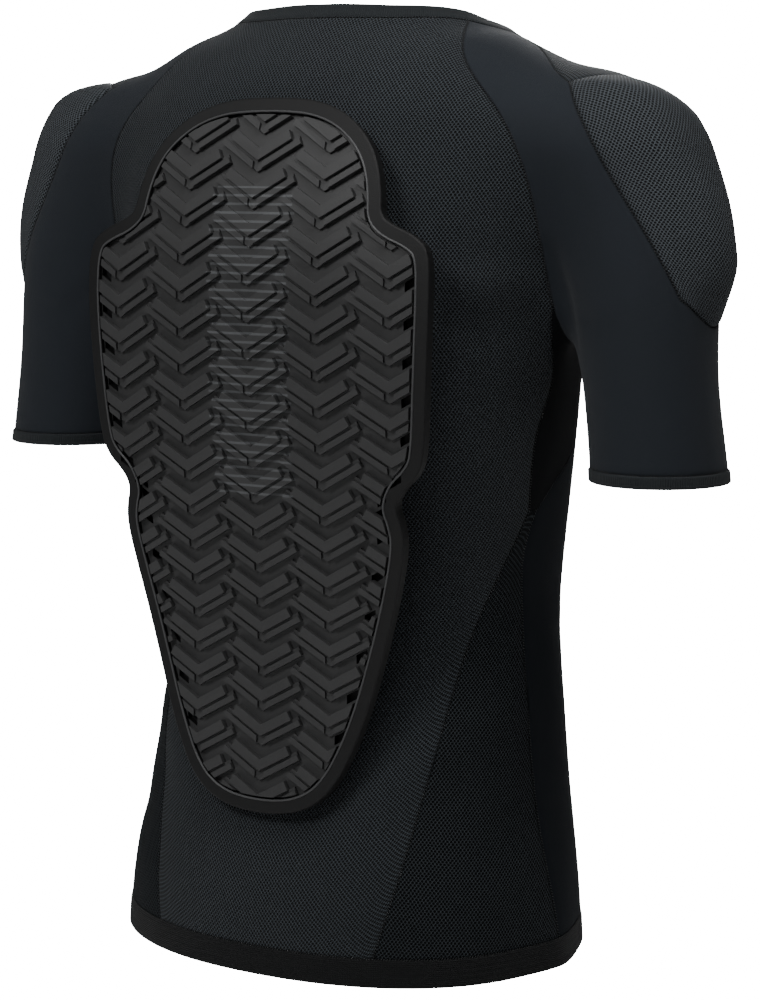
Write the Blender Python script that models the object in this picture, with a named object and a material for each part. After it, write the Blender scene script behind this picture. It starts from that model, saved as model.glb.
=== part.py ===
"""Padded compression shirt with a back protector.

Metres, +Z up.  The front of the shirt faces -Y and the wearer's left arm is at +X.
The origin is the middle of the neck hole, where the shirt hangs on its wearer.
The cloth lies on one smooth skin (torso, two arms and neck blended together).  Seams are
curves on that skin, and every panel is a wall between the seams that it shares.
"""
import math

import bmesh
import bpy
import numpy as np

# driving sizes
SEAM_GAP = 0.0003
KNIT = 0.0016
MESH_KNIT = 0.0020
PAD_HEIGHT = 0.0145
PAD_EDGE = 0.034
PAD_BACKING = 0.0030
COLLAR_HEIGHT = 0.0120
CUFF_HEIGHT = 0.0088
HEM_HEIGHT = 0.0200
BAND_WALL = 0.0024
BAND_PROUD = 0.0006
CUFF_SEAM_Z = -0.2925
HEM_SEAM_Z = -0.6310

TORSO = [  # z, half_width, half_depth, centre_y
    (0.060, 0.150, 0.070, -0.006),
    (0.000, 0.172, 0.086, -0.004),
    (-0.050, 0.186, 0.102, -0.002),
    (-0.100, 0.184, 0.116, 0.000),
    (-0.150, 0.176, 0.126, 0.000),
    (-0.210, 0.167, 0.130, -0.003),
    (-0.300, 0.156, 0.125, -0.009),
    (-0.360, 0.147, 0.117, -0.016),
    (-0.410, 0.1435, 0.112, -0.017),
    (-0.470, 0.151, 0.118, -0.008),
    (-0.540, 0.160, 0.125, -0.001),
    (-0.600, 0.169, 0.133, 0.005),
    (-0.680, 0.174, 0.138, 0.007),
]
ARM = [  # z, centre_x, centre_y, half_width, half_depth
    (0.000, 0.200, -0.004, 0.048, 0.058),
    (-0.070, 0.206, -0.002, 0.048, 0.058),
    (-0.110, 0.222, 0.002, 0.048, 0.056),
    (-0.150, 0.234, 0.007, 0.047, 0.053),
    (-0.230, 0.2425, 0.014, 0.0435, 0.047),
    (-0.310, 0.250, 0.015, 0.0465, 0.0475),
    (-0.340, 0.252, 0.017, 0.0465, 0.0475),
]
SHOULDER = [  # across, top_z
    (0.000, 0.016),
    (0.090, 0.009),
    (0.130, 0.003),
    (0.155, -0.005),
    (0.178, -0.017),
    (0.215, -0.030),
    (0.280, -0.060),
]
TORSO_SQUARENESS = 2.2
SHOULDER_FALL = 2.5
SHOULDER_TOP_Y = 0.006
ARM_TOP_Z = -0.085
ARM_TOP_HEIGHT = 0.048
ARM_BLEND = 0.055
NECK_HALF_WIDTH = 0.092
NECK_HALF_DEPTH = 0.078
NECK_Y = -0.0274
NECK_LEAN = 0.25

# Seams of the wearer's left half: x, y, z of the few points that each seam runs through.
NECK_RAGLAN_BACK = (0.098, 0.012, 0.009)
NECK_RIDGE = (0.118, -0.022, -0.001)
NECK_RAGLAN_FRONT = (0.093, -0.077, -0.023)
ARMPIT_BACK = (0.177, 0.035, -0.182)
ARMPIT_FRONT = (0.181, -0.022, -0.184)
GUSSET_TIP_BACK = (0.149, 0.014, -0.329)
GUSSET_TIP_FRONT = (0.148, 0.006, -0.329)
CAP_TOP_BACK = (0.189, 0.035, -0.040)
CAP_TOP_FRONT = (0.229, -0.034, -0.055)
CAP_END_BACK = (0.274, 0.040, -0.177)
CAP_END_FRONT = (0.267, -0.030, -0.174)
SHOULDER_LOW_FRONT = (0.148, -0.076, -0.085)
HEM_BACK = (0.090, 0.126, HEM_SEAM_Z)
HEM_FRONT = (0.172, 0.016, HEM_SEAM_Z)
SEAMS = {
    "neck_back": [(0.0, 0.057, 0.011), (0.055, 0.046, 0.011), NECK_RAGLAN_BACK],
    "neck_strip": [NECK_RAGLAN_BACK, (0.112, -0.003, 0.002), NECK_RIDGE],
    "neck_side": [NECK_RIDGE, (0.112, -0.050, -0.012), NECK_RAGLAN_FRONT],
    "neck_front": [(0.0, -0.110, -0.040), (0.052, -0.102, -0.034), NECK_RAGLAN_FRONT],
    "raglan_back": [
        NECK_RAGLAN_BACK, (0.111, 0.043, -0.006), (0.117, 0.053, -0.015), (0.147, 0.064, -0.051),
        (0.165, 0.062, -0.079), (0.174, 0.053, -0.119), (0.176, 0.046, -0.153), ARMPIT_BACK,
    ],
    "gusset_back": [
        ARMPIT_BACK, (0.169, 0.021, -0.215), (0.163, 0.013, -0.240), (0.159, 0.017, -0.259),
        (0.156, 0.020, -0.280), GUSSET_TIP_BACK,
    ],
    "side_back": [
        GUSSET_TIP_BACK, (0.133, 0.034, -0.380), (0.121, 0.053, -0.427), (0.116, 0.075, -0.475),
        (0.105, 0.103, -0.555), HEM_BACK,
    ],
    "hem_back": [(0.0, 0.142, HEM_SEAM_Z), (0.062, 0.135, HEM_SEAM_Z), HEM_BACK],
    "hem_side": [HEM_BACK, (0.129, 0.103, HEM_SEAM_Z), (0.163, 0.055, HEM_SEAM_Z), HEM_FRONT],
    "hem_front": [
        (0.0, -0.130, HEM_SEAM_Z), (0.070, -0.122, HEM_SEAM_Z), (0.130, -0.093, HEM_SEAM_Z),
        (0.165, -0.045, HEM_SEAM_Z), HEM_FRONT,
    ],
    "side_front": [
        GUSSET_TIP_FRONT, (0.144, 0.012, -0.353), (0.141, 0.008, -0.398), (0.148, 0.013, -0.463),
        (0.166, 0.018, -0.582), HEM_FRONT,
    ],
    "gusset_tip": [GUSSET_TIP_BACK, GUSSET_TIP_FRONT],
    "gusset_front": [
        ARMPIT_FRONT, (0.170, -0.027, -0.198), (0.160, -0.045, -0.222), (0.152, -0.057, -0.255),
        (0.150, -0.051, -0.287), (0.155, -0.020, -0.306), GUSSET_TIP_FRONT,
    ],
    "underarm": [ARMPIT_BACK, (0.180, 0.008, -0.210), ARMPIT_FRONT],
    "raglan_front_high": [NECK_RAGLAN_FRONT, (0.120, -0.080, -0.046), SHOULDER_LOW_FRONT],
    "raglan_front_low": [
        SHOULDER_LOW_FRONT, (0.166, -0.062, -0.115), (0.175, -0.045, -0.145), (0.178, -0.034, -0.165),
        ARMPIT_FRONT,
    ],
    "ridge": [NECK_RIDGE, (0.130, -0.014, -0.008), (0.145, -0.002, -0.014), (0.171, 0.024, -0.032), CAP_TOP_BACK],
    "cap_top": [CAP_TOP_BACK, (0.204, 0.016, -0.035), (0.219, -0.010, -0.040), CAP_TOP_FRONT],
    "cap_back": [
        CAP_TOP_BACK, (0.195, 0.043, -0.047), (0.214, 0.055, -0.072), (0.233, 0.055, -0.102),
        (0.261, 0.050, -0.146), CAP_END_BACK,
    ],
    "cap_end": [
        CAP_END_BACK, (0.282, 0.026, -0.189), (0.2845, 0.008, -0.197), (0.279, -0.012, -0.190), CAP_END_FRONT,
    ],
    "cap_front": [
        CAP_TOP_FRONT, (0.245, -0.043, -0.085), (0.256, -0.040, -0.120), (0.265, -0.034, -0.150), CAP_END_FRONT,
    ],
    "shoulder_low": [CAP_TOP_FRONT, (0.202, -0.060, -0.070), SHOULDER_LOW_FRONT],
    "sleeve_back": [ARMPIT_BACK, (0.195, 0.042, -0.186), (0.212, 0.053, -0.190), (0.240, 0.060, -0.187), CAP_END_BACK],
    "sleeve_front": [CAP_END_FRONT, (0.240, -0.041, -0.178), (0.208, -0.034, -0.182), ARMPIT_FRONT],
}
STATIONS = {
    "neck_back": 8, "neck_strip": 5, "neck_side": 5, "neck_front": 8,
    "raglan_back": 14, "gusset_back": 5, "side_back": 10,
    "hem_back": 8, "hem_side": 4, "hem_front": 8,
    "side_front": 10, "gusset_tip": 4, "gusset_front": 5, "underarm": 4,
    "raglan_front_high": 3, "raglan_front_low": 8,
    "ridge": 6, "cap_top": 5, "cap_back": 8, "cap_end": 5, "cap_front": 8,
    "shoulder_low": 3, "sleeve_back": 5, "sleeve_front": 3,
}
SLEEVE_ROWS = 6
SLEEVE_TWIST = 0.7

# Back protector: height against half width of its outline, and its own back line.
PROTECTOR_OUTLINE = [  # z, half_width
    (-0.0490, 0.0160), (-0.0512, 0.0390), (-0.0590, 0.0620), (-0.0735, 0.0815), (-0.0910, 0.0930),
    (-0.1120, 0.0985), (-0.1230, 0.0995), (-0.1290, 0.1060), (-0.1360, 0.1250), (-0.1465, 0.1375),
    (-0.1800, 0.1385), (-0.2280, 0.1360), (-0.2780, 0.1325), (-0.2930, 0.1270), (-0.3050, 0.1135),
    (-0.3155, 0.1090), (-0.3270, 0.1130), (-0.3420, 0.1145), (-0.3700, 0.1085), (-0.4020, 0.1000),
    (-0.4360, 0.0905), (-0.4660, 0.0815), (-0.4920, 0.0715), (-0.5150, 0.0595), (-0.5310, 0.0430),
    (-0.5390, 0.0180),
]
PROTECTOR_BACK = [  # z, y
    (-0.020, 0.0840), (-0.060, 0.1062), (-0.100, 0.1198), (-0.150, 0.1306), (-0.210, 0.1325),
    (-0.300, 0.1255), (-0.400, 0.1155), (-0.480, 0.1168), (-0.560, 0.1260),
]
PROTECTOR_BOW = 0.38
PROTECTOR_CLEAR = 0.0010
PROTECTOR_BASE = 0.0065
PROTECTOR_RIM_WIDTH = 0.0095
PROTECTOR_RIM_HEIGHT = 0.0035
TREAD_TOP = -0.0228
TREAD_COLUMN = 0.0545
TREAD_PITCH = 0.0247
TREAD_SLOPE = 0.5700
TREAD_REACH = 0.0318
TREAD_STRIP_REACH = 0.0243
TREAD_STEP = 0.0070
TREAD_BAND = 0.0150
TREAD_LEDGE = 0.0032
TREAD_STRIP = 0.0045


# the skin
def natural_spline(rows):
    """Return a smooth function through a table whose first column is the position."""
    table = np.array(rows, float)
    table = table[np.argsort(table[:, 0])]
    knots, values = table[:, 0], table[:, 1:]
    gaps = np.diff(knots)
    count = len(knots)
    left = np.eye(count)
    right = np.zeros_like(values)
    for i in range(1, count - 1):
        left[i, i - 1:i + 2] = gaps[i - 1], 2 * (gaps[i - 1] + gaps[i]), gaps[i]
        rise_after = (values[i + 1] - values[i]) / gaps[i]
        rise_before = (values[i] - values[i - 1]) / gaps[i - 1]
        right[i] = 6 * (rise_after - rise_before)
    bend = np.linalg.solve(left, right)

    def at(where):
        where = np.clip(np.asarray(where, float), knots[0], knots[-1])
        i = np.clip(np.searchsorted(knots, where, side="right") - 1, 0, count - 2)
        step = (where - knots[i])[..., None]
        gap = gaps[i][..., None]
        rise = (values[i + 1] - values[i]) / gap - gap * (2 * bend[i] + bend[i + 1]) / 6
        return values[i] + step * (rise + step * (bend[i] / 2 + step * (bend[i + 1] - bend[i]) / (6 * gap)))

    return at


torso_at = natural_spline(TORSO)
arm_at = natural_spline(ARM)
shoulder_at = natural_spline(SHOULDER)


def merge(first, second, reach):
    """Smallest of two distances, rounded where they meet."""
    overlap = np.maximum(reach - np.abs(first - second), 0) / reach
    return np.minimum(first, second) - overlap * overlap * reach / 4


def skin(p):
    """Signed distance, near enough, from the surface that the cloth lies on."""
    x, y, z = np.abs(p[..., 0]), p[..., 1], p[..., 2]
    width, depth, centre = np.moveaxis(torso_at(z), -1, 0)
    n = TORSO_SQUARENESS
    ring = ((x / width) ** n + (np.abs(y - centre) / depth) ** n) ** (1 / n)
    torso = (ring - 1) * np.minimum(width, depth)
    top = z - shoulder_at(x)[..., 0] + SHOULDER_FALL * (y - SHOULDER_TOP_Y) ** 2
    torso = -merge(-torso, -top, 0.05)
    centre_x, centre_y, width, depth = np.moveaxis(arm_at(z), -1, 0)
    crown = np.maximum(z - ARM_TOP_Z, 0) / ARM_TOP_HEIGHT
    arm = (np.sqrt(((x - centre_x) / width) ** 2 + ((y - centre_y) / depth) ** 2 + crown ** 2) - 1) * width
    neck_y = NECK_Y - NECK_LEAN * np.clip(z, -0.06, 0.06)
    neck = (np.sqrt((x / NECK_HALF_WIDTH) ** 2 + ((y - neck_y) / NECK_HALF_DEPTH) ** 2) - 1) * 0.08
    return merge(merge(torso, arm, ARM_BLEND), neck, 0.03)


def slope(p, step=1e-4):
    parts = []
    for axis in range(3):
        shift = np.zeros(3)
        shift[axis] = step
        parts.append((skin(p + shift) - skin(p - shift)) / (2 * step))
    return np.stack(parts, -1)


def settle(p, times=8):
    """Slide points onto the skin."""
    p = np.array(p, float)
    for _ in range(times):
        g = slope(p)
        p = p - (skin(p) / np.maximum((g * g).sum(-1), 1e-6))[..., None] * g
    return p


def outward(p):
    g = slope(p)
    return g / np.linalg.norm(g, axis=-1, keepdims=True)


# seams and panels
def evenly(points, count):
    """Points at equal steps along a line of points."""
    steps = np.linalg.norm(np.diff(points, axis=0), axis=1)
    along = np.concatenate([[0], np.cumsum(steps)])
    where = np.linspace(0, along[-1], count + 1)
    return np.stack([np.interp(where, along, points[:, k]) for k in range(3)], -1)


def seam_line(guide, count):
    guide = np.array(guide, float)
    steps = np.linalg.norm(np.diff(guide, axis=0), axis=1)
    along = np.concatenate([[0], np.cumsum(steps)])
    curve = natural_spline(np.column_stack([along, guide]))
    line = settle(curve(np.linspace(0, along[-1], 12 * count + 1)))
    return settle(evenly(line, count))


def make_seams():
    seams = {name: seam_line(guide, STATIONS[name]) for name, guide in SEAMS.items()}
    corners = {}
    for line in seams.values():
        for end in (0, -1):
            key = tuple(np.round(line[end], 3))
            line[end] = corners.setdefault(key, line[end].copy())
    for name in ("neck_back", "neck_front", "hem_back", "hem_front"):
        seams[name][0, 0] = 0.0
    return seams


def both_halves(line):
    """A seam from the middle outwards, continued over the other half."""
    return np.concatenate([line[:0:-1] * (-1, 1, 1), line])


def fill(top, bottom, start, end, rounds=30):
    """Grid of skin points between four seams: rows run from top to bottom."""
    u = np.linspace(0, 1, len(top))[None, :, None]
    v = np.linspace(0, 1, len(start))[:, None, None]
    grid = (1 - v) * top[None] + v * bottom[None] + (1 - u) * start[:, None] + u * end[:, None]
    grid = grid - ((1 - u) * (1 - v) * top[0] + u * (1 - v) * top[-1]
                   + (1 - u) * v * bottom[0] + u * v * bottom[-1])
    grid = settle(grid)
    for _ in range(rounds):
        middle = (grid[:-2, 1:-1] + grid[2:, 1:-1] + grid[1:-1, :-2] + grid[1:-1, 2:]) / 4
        grid[1:-1, 1:-1] = settle(0.5 * grid[1:-1, 1:-1] + 0.5 * middle, 2)
    grid[0], grid[-1], grid[:, 0], grid[:, -1] = top, bottom, start, end
    return grid


def finer(grid):
    """Twice as fine inside, with the old straight edges kept."""
    rows, columns = grid.shape[:2]
    out = np.empty((2 * rows - 1, 2 * columns - 1, 3))
    out[::2, ::2] = grid
    out[1::2, ::2] = (grid[:-1] + grid[1:]) / 2
    out[:, 1::2] = (out[:, :-2:2] + out[:, 2::2]) / 2
    out[1:-1, 1:-1] = settle(out[1:-1, 1:-1])
    return out


def grid_faces(rows, columns, first=0):
    return [
        (first + r * columns + c, first + (r + 1) * columns + c,
         first + (r + 1) * columns + c + 1, first + r * columns + c + 1)
        for r in range(rows - 1) for c in range(columns - 1)
    ]


def weld(pieces):
    """Join grids that share rows of points into one list of points and faces."""
    points, faces, known = [], [], {}
    for grid in pieces:
        place = []
        for p in grid.reshape(-1, 3):
            key = tuple(np.round(p, 6))
            if key not in known:
                known[key] = len(points)
                points.append(p)
            place.append(known[key])
        for face in grid_faces(*grid.shape[:2]):
            corners = [place[i] for i in face]
            if len(set(corners)) == 4:
                faces.append(tuple(corners))
    return np.array(points), faces


def border_of(faces):
    """Directed edges that only one face uses."""
    edges = {}
    for face in faces:
        for a, b in zip(face, face[1:] + face[:1]):
            edges[(a, b)] = True
    return [(a, b) for a, b in edges if (b, a) not in edges]


def pull_in(points, normals, border, distance):
    """Move the border back from the seam, square to it."""
    after = {a: b for a, b in border}
    before = {b: a for a, b in border}
    moved = points.copy()
    for i in after:
        sides = []
        for a, b in ((before[i], i), (i, after[i])):
            along = points[b] - points[a]
            side = np.cross(normals[i], along)
            sides.append(side / np.linalg.norm(side))
        share = max(1 + float(sides[0] @ sides[1]), 0.35)
        moved[i] = points[i] + distance * (sides[0] + sides[1]) / share
    return moved


def facing_out(points, normals, faces):
    """Turn all faces so that they look away from the wearer."""
    total = 0.0
    for a, b, c, d in faces:
        total += float(np.cross(points[c] - points[a], points[d] - points[b]) @ normals[a])
    return faces if total > 0 else [face[::-1] for face in faces]


def halves(points, face):
    """Split a four-sided face along its shorter diagonal."""
    a, b, c, d = face
    if np.linalg.norm(points[a] - points[c]) <= np.linalg.norm(points[b] - points[d]) + 1e-6:
        return (a, b, c), (a, c, d)
    return (a, b, d), (b, c, d)


def cut_edge(points, a, b, count):
    """Two triangles across the cut edge, split the same way on both sides of a seam."""
    first, last = ((abs(x), y, z) for x, y, z in np.round(points[[a, b]], 5))
    if first > last:
        return [(b, a, b + count), (a, a + count, b + count)]
    return [(b, a, a + count), (b, a + count, b + count)]


def wall(points, faces, thickness, raised=None, gap=SEAM_GAP):
    """Close a panel: outer points, inner points and the cut edge between them."""
    normals = outward(points)
    faces = facing_out(points, normals, faces)
    border = border_of(faces)
    faces = [half for face in faces for half in halves(points, face)]
    flat = pull_in(points, normals, border, gap / 2)
    outer = flat if raised is None else flat + normals * raised[:, None]
    inner = flat - normals * thickness
    count = len(points)
    shell = list(faces)
    shell += [tuple(i + count for i in face[::-1]) for face in faces]
    for a, b in border:
        shell += cut_edge(points, a, b, count)
    return np.concatenate([outer, inner]), shell


def band(seam, away, profile):
    """Closed ring along a seam: profile is (distance from the seam, height over the skin)."""
    count = len(seam)
    along = np.roll(seam, -1, 0) - np.roll(seam, 1, 0)
    normals = outward(seam)
    side = np.cross(normals, along)
    side /= np.linalg.norm(side, axis=1, keepdims=True)
    side *= np.sign((side * away).sum(1, keepdims=True))
    points, faces = [], []
    for distance, height in profile:
        row = settle(seam + side * distance)
        points.append(row + outward(row) * height)
    rows = len(profile)
    for r in range(rows):
        for c in range(count):
            below, beside = (r + 1) % rows, (c + 1) % count
            faces.append((r * count + c, r * count + beside, below * count + beside, below * count + c))
    return np.concatenate(points), faces


def band_profile(height, wall_thickness, proud):
    edge = SEAM_GAP / 2
    return [
        (edge, proud * 0.3), (height * 0.18, proud), (height * 0.86, proud), (height, -proud * 0.6),
        (height * 0.99, proud - wall_thickness), (edge, -wall_thickness),
    ]


# making objects
def clear_scene():
    for old in list(bpy.data.objects):
        bpy.data.objects.remove(old, do_unlink=True)


def named_collection(name, hidden=False):
    found = bpy.data.collections.new(name)
    bpy.context.scene.collection.children.link(found)
    found.hide_render = hidden
    return found


def make_material(name, colour, roughness, sheen=0.0):
    material = bpy.data.materials.new(name)
    material.use_nodes = True
    shader = material.node_tree.nodes["Principled BSDF"]
    shader.inputs["Base Color"].default_value = (*colour, 1.0)
    shader.inputs["Roughness"].default_value = roughness
    shader.inputs["Sheen Weight"].default_value = sheen
    material.diffuse_color = (*colour, 1.0)
    return material


def put(name, points, faces, collection, material, smooth=True):
    """Make one object of points and faces, with its faces turned outwards."""
    mesh = bpy.data.meshes.new(name)
    mesh.from_pydata([tuple(p) for p in points], [], faces)
    shape = bmesh.new()
    shape.from_mesh(mesh)
    bmesh.ops.recalc_face_normals(shape, faces=shape.faces)
    if shape.calc_volume(signed=True) < 0:
        bmesh.ops.reverse_faces(shape, faces=shape.faces)
    shape.to_mesh(mesh)
    shape.free()
    mesh.shade_smooth() if smooth else mesh.shade_flat()
    mesh.materials.append(material)
    made = bpy.data.objects.new(name, mesh)
    collection.objects.link(made)
    return made


def put_pair(name, points, faces, collection, material):
    """The wearer's left piece and its mirror twin on the right."""
    put(name + "_left", points, faces, collection, material)
    put(name + "_right", points * (-1, 1, 1), [face[::-1] for face in faces], collection, material)


# cloth
def pad_height(grid):
    """Height of the pad over its cloth: steep at the seams, flat over the middle."""
    edge = np.concatenate([grid[0], grid[-1], grid[:, 0], grid[:, -1]])
    points = grid.reshape(-1, 3)
    reach = np.linalg.norm(points[:, None] - edge[None], axis=2).min(1)
    share = np.clip(reach / PAD_EDGE, 0, 1)
    return PAD_HEIGHT * np.sqrt(1 - (1 - share) ** 2)


def sleeve_tube(ring):
    """Rows of points from the top ring of the sleeve down to the cuff seam."""
    centre = arm_at(ring[:, 2])
    turn = np.unwrap(np.arctan2(ring[:, 1] - centre[:, 1], ring[:, 0] - centre[:, 0]))
    whole = math.copysign(2 * math.pi, turn[-1] - turn[0])
    even = turn.mean() + whole * (np.arange(len(ring)) / len(ring) - 0.5 + 0.5 / len(ring))
    turn = SLEEVE_TWIST * turn + (1 - SLEEVE_TWIST) * even
    centre_x, centre_y, width, depth = arm_at(CUFF_SEAM_Z)
    cuff = settle(np.stack([centre_x + width * np.cos(turn), centre_y + depth * np.sin(turn),
                            np.full(len(ring), CUFF_SEAM_Z)], -1))
    cuff[:, 2] = CUFF_SEAM_Z
    share = np.linspace(0, 1, SLEEVE_ROWS + 1)[:, None, None]
    rows = settle((1 - share) * ring[None] + share * cuff[None])
    rows[0], rows[-1] = ring, cuff
    for _ in range(20):
        beside = (np.roll(rows, 1, 1) + np.roll(rows, -1, 1))[1:-1]
        rows[1:-1] = settle((rows[1:-1] * 2 + beside + rows[:-2] + rows[2:]) / 6, 2)
    return np.concatenate([rows, rows[:, :1]], 1)


def build_cloth(seams, collection, materials):
    mesh_knit, smooth_knit = materials["mesh_knit"], materials["smooth_knit"]
    s = seams
    back_edge = np.concatenate([s["raglan_back"], s["gusset_back"][1:], s["side_back"][1:]])
    back = fill(both_halves(s["neck_back"]), both_halves(s["hem_back"]), back_edge * (-1, 1, 1), back_edge)
    points, faces = weld([back])
    put("back_panel", *wall(points, faces, MESH_KNIT), collection, mesh_knit)

    front_edge = np.concatenate([
        s["raglan_front_high"], s["raglan_front_low"][1:], s["gusset_front"][1:], s["side_front"][1:]])
    front = fill(both_halves(s["neck_front"]), both_halves(s["hem_front"]), front_edge * (-1, 1, 1), front_edge)
    points, faces = weld([front])
    put("front_panel", *wall(points, faces, KNIT), collection, smooth_knit)

    side = fill(s["gusset_tip"], s["hem_side"], s["side_back"], s["side_front"])
    put_pair("side_panel", *wall(*weld([side]), MESH_KNIT), collection, mesh_knit)

    gusset = fill(s["underarm"], s["gusset_tip"], s["gusset_back"], s["gusset_front"])
    put_pair("gusset", *wall(*weld([gusset]), KNIT, gap=2 * SEAM_GAP), collection, smooth_knit)

    cap = finer(fill(s["cap_top"], s["cap_end"], s["cap_back"], s["cap_front"]))
    points, faces = weld([cap])
    put_pair("shoulder_cap", *wall(points, faces, PAD_BACKING, pad_height(cap)), collection, mesh_knit)

    lower = np.concatenate([s["raglan_front_high"], s["shoulder_low"][-2::-1]])
    yoke = fill(s["neck_side"], s["cap_top"], s["ridge"], lower)
    put_pair("shoulder_front", *wall(*weld([yoke]), MESH_KNIT), collection, mesh_knit)

    outer_edge = np.concatenate([s["ridge"], s["cap_back"][1:]])
    strip = fill(s["neck_strip"], s["sleeve_back"], s["raglan_back"], outer_edge)
    front_strip = fill(s["shoulder_low"], s["sleeve_front"], s["cap_front"], s["raglan_front_low"])
    ring = np.concatenate([s["sleeve_back"][:-1], s["cap_end"][:-1], s["sleeve_front"][:-1], s["underarm"][:0:-1]])
    tube = sleeve_tube(ring)
    put_pair("sleeve", *wall(*weld([strip, front_strip, tube]), KNIT), collection, smooth_knit)
    return tube[-1, :-1]


def build_bands(seams, cuff_seam, collection, materials):
    s = seams
    half = np.concatenate([s["neck_back"], s["neck_strip"][1:], s["neck_side"][1:], s["neck_front"][-2::-1]])
    neck = np.concatenate([half, half[-2:0:-1] * (-1, 1, 1)])
    put("collar", *band(neck, np.array([0, 0, 1.0]), band_profile(COLLAR_HEIGHT, BAND_WALL, BAND_PROUD)),
        collection, materials["smooth_knit"])

    half = np.concatenate([s["hem_back"], s["hem_side"][1:], s["hem_front"][-2::-1]])
    hem = np.concatenate([half, half[-2:0:-1] * (-1, 1, 1)])
    put("hem_band", *band(hem, np.array([0, 0, -1.0]), band_profile(HEM_HEIGHT, BAND_WALL, BAND_PROUD)),
        collection, materials["elastic_band"])

    put_pair("cuff", *band(cuff_seam, np.array([0, 0, -1.0]), band_profile(CUFF_HEIGHT, BAND_WALL, BAND_PROUD)),
             collection, materials["smooth_knit"])


# back protector
back_line = natural_spline(PROTECTOR_BACK)


def on_back(flat):
    """Bend flat points (across, up, out) onto the protector's own curved back."""
    across, up, out = flat[:, 0], flat[:, 1], flat[:, 2]

    def surface(x, z):
        return np.stack([x, back_line(z)[:, 0] - PROTECTOR_BOW * x * x, z], -1)

    step = 1e-4
    base = surface(across, up)
    along_x = surface(across + step, up) - surface(across - step, up)
    along_z = surface(across, up + step) - surface(across, up - step)
    normal = np.cross(along_z, along_x)
    normal /= np.linalg.norm(normal, axis=1, keepdims=True)
    return base + normal * (out + PROTECTOR_CLEAR)[:, None]


def outline_loop(inset=0.0):
    """Outline of the protector, going round from the top, moved in by the inset."""
    half = np.array([(w, z) for z, w in PROTECTOR_OUTLINE])
    loop = np.concatenate([half, half[::-1] * (-1, 1)])
    before, after = np.roll(loop, 1, 0) - loop, np.roll(loop, -1, 0) - loop
    before /= -np.linalg.norm(before, axis=1, keepdims=True)
    after /= np.linalg.norm(after, axis=1, keepdims=True)
    inward = np.stack([before[:, 1], -before[:, 0]], -1) + np.stack([after[:, 1], -after[:, 0]], -1)
    length = np.linalg.norm(inward, axis=1, keepdims=True)
    return loop + inward / length * inset * 2 / np.maximum(length, 1.2)


def prism(shape, loop, low, high, taper=None):
    """Add a flat prism over a loop of (across, up) points, with an optional smaller top."""
    top = loop if taper is None else taper
    under = [shape.verts.new((x, z, low)) for x, z in loop]
    over = [shape.verts.new((x, z, high)) for x, z in top]
    shape.faces.new(under[::-1])
    shape.faces.new(over)
    for i in range(len(loop)):
        j = (i + 1) % len(loop)
        shape.faces.new((under[i], under[j], over[j], over[i]))


def flat_object(name, shape, collection):
    mesh = bpy.data.meshes.new(name)
    bmesh.ops.recalc_face_normals(shape, faces=shape.faces)
    shape.to_mesh(mesh)
    shape.free()
    made = bpy.data.objects.new(name, mesh)
    made.display_type = "WIRE"
    collection.objects.link(made)
    return made


def combine(target, tool, operation):
    step = target.modifiers.new(operation.lower(), "BOOLEAN")
    step.operation = operation
    step.object = tool
    step.solver = "EXACT"
    step.use_self = operation == "UNION"
    graph = bpy.context.evaluated_depsgraph_get()
    result = bpy.data.meshes.new_from_object(target.evaluated_get(graph))
    target.modifiers.remove(step)
    target.data = result
    return target


def chevron(x, z, low, high, reach):
    """Corner points of one V of the tread, its lower tip at (x, z + low) and its ends cut square to its arms."""
    inner = reach - (high - low) * TREAD_SLOPE / (1 + TREAD_SLOPE ** 2)
    return [
        (x - reach, z + TREAD_SLOPE * reach + low), (x, z + low), (x + reach, z + TREAD_SLOPE * reach + low),
        (x + inner, z + TREAD_SLOPE * inner + high), (x, z + high), (x - inner, z + TREAD_SLOPE * inner + high),
    ]


def tread_places():
    """Tip of every V block: five columns, each second one half a step lower."""
    rows = int(0.54 / TREAD_PITCH) + 1
    for column in (-2, -1, 0, 1, 2):
        shift = 0.5 if column % 2 else 0.0
        for row in range(rows):
            yield column * TREAD_COLUMN, TREAD_TOP - (row + shift) * TREAD_PITCH


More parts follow.
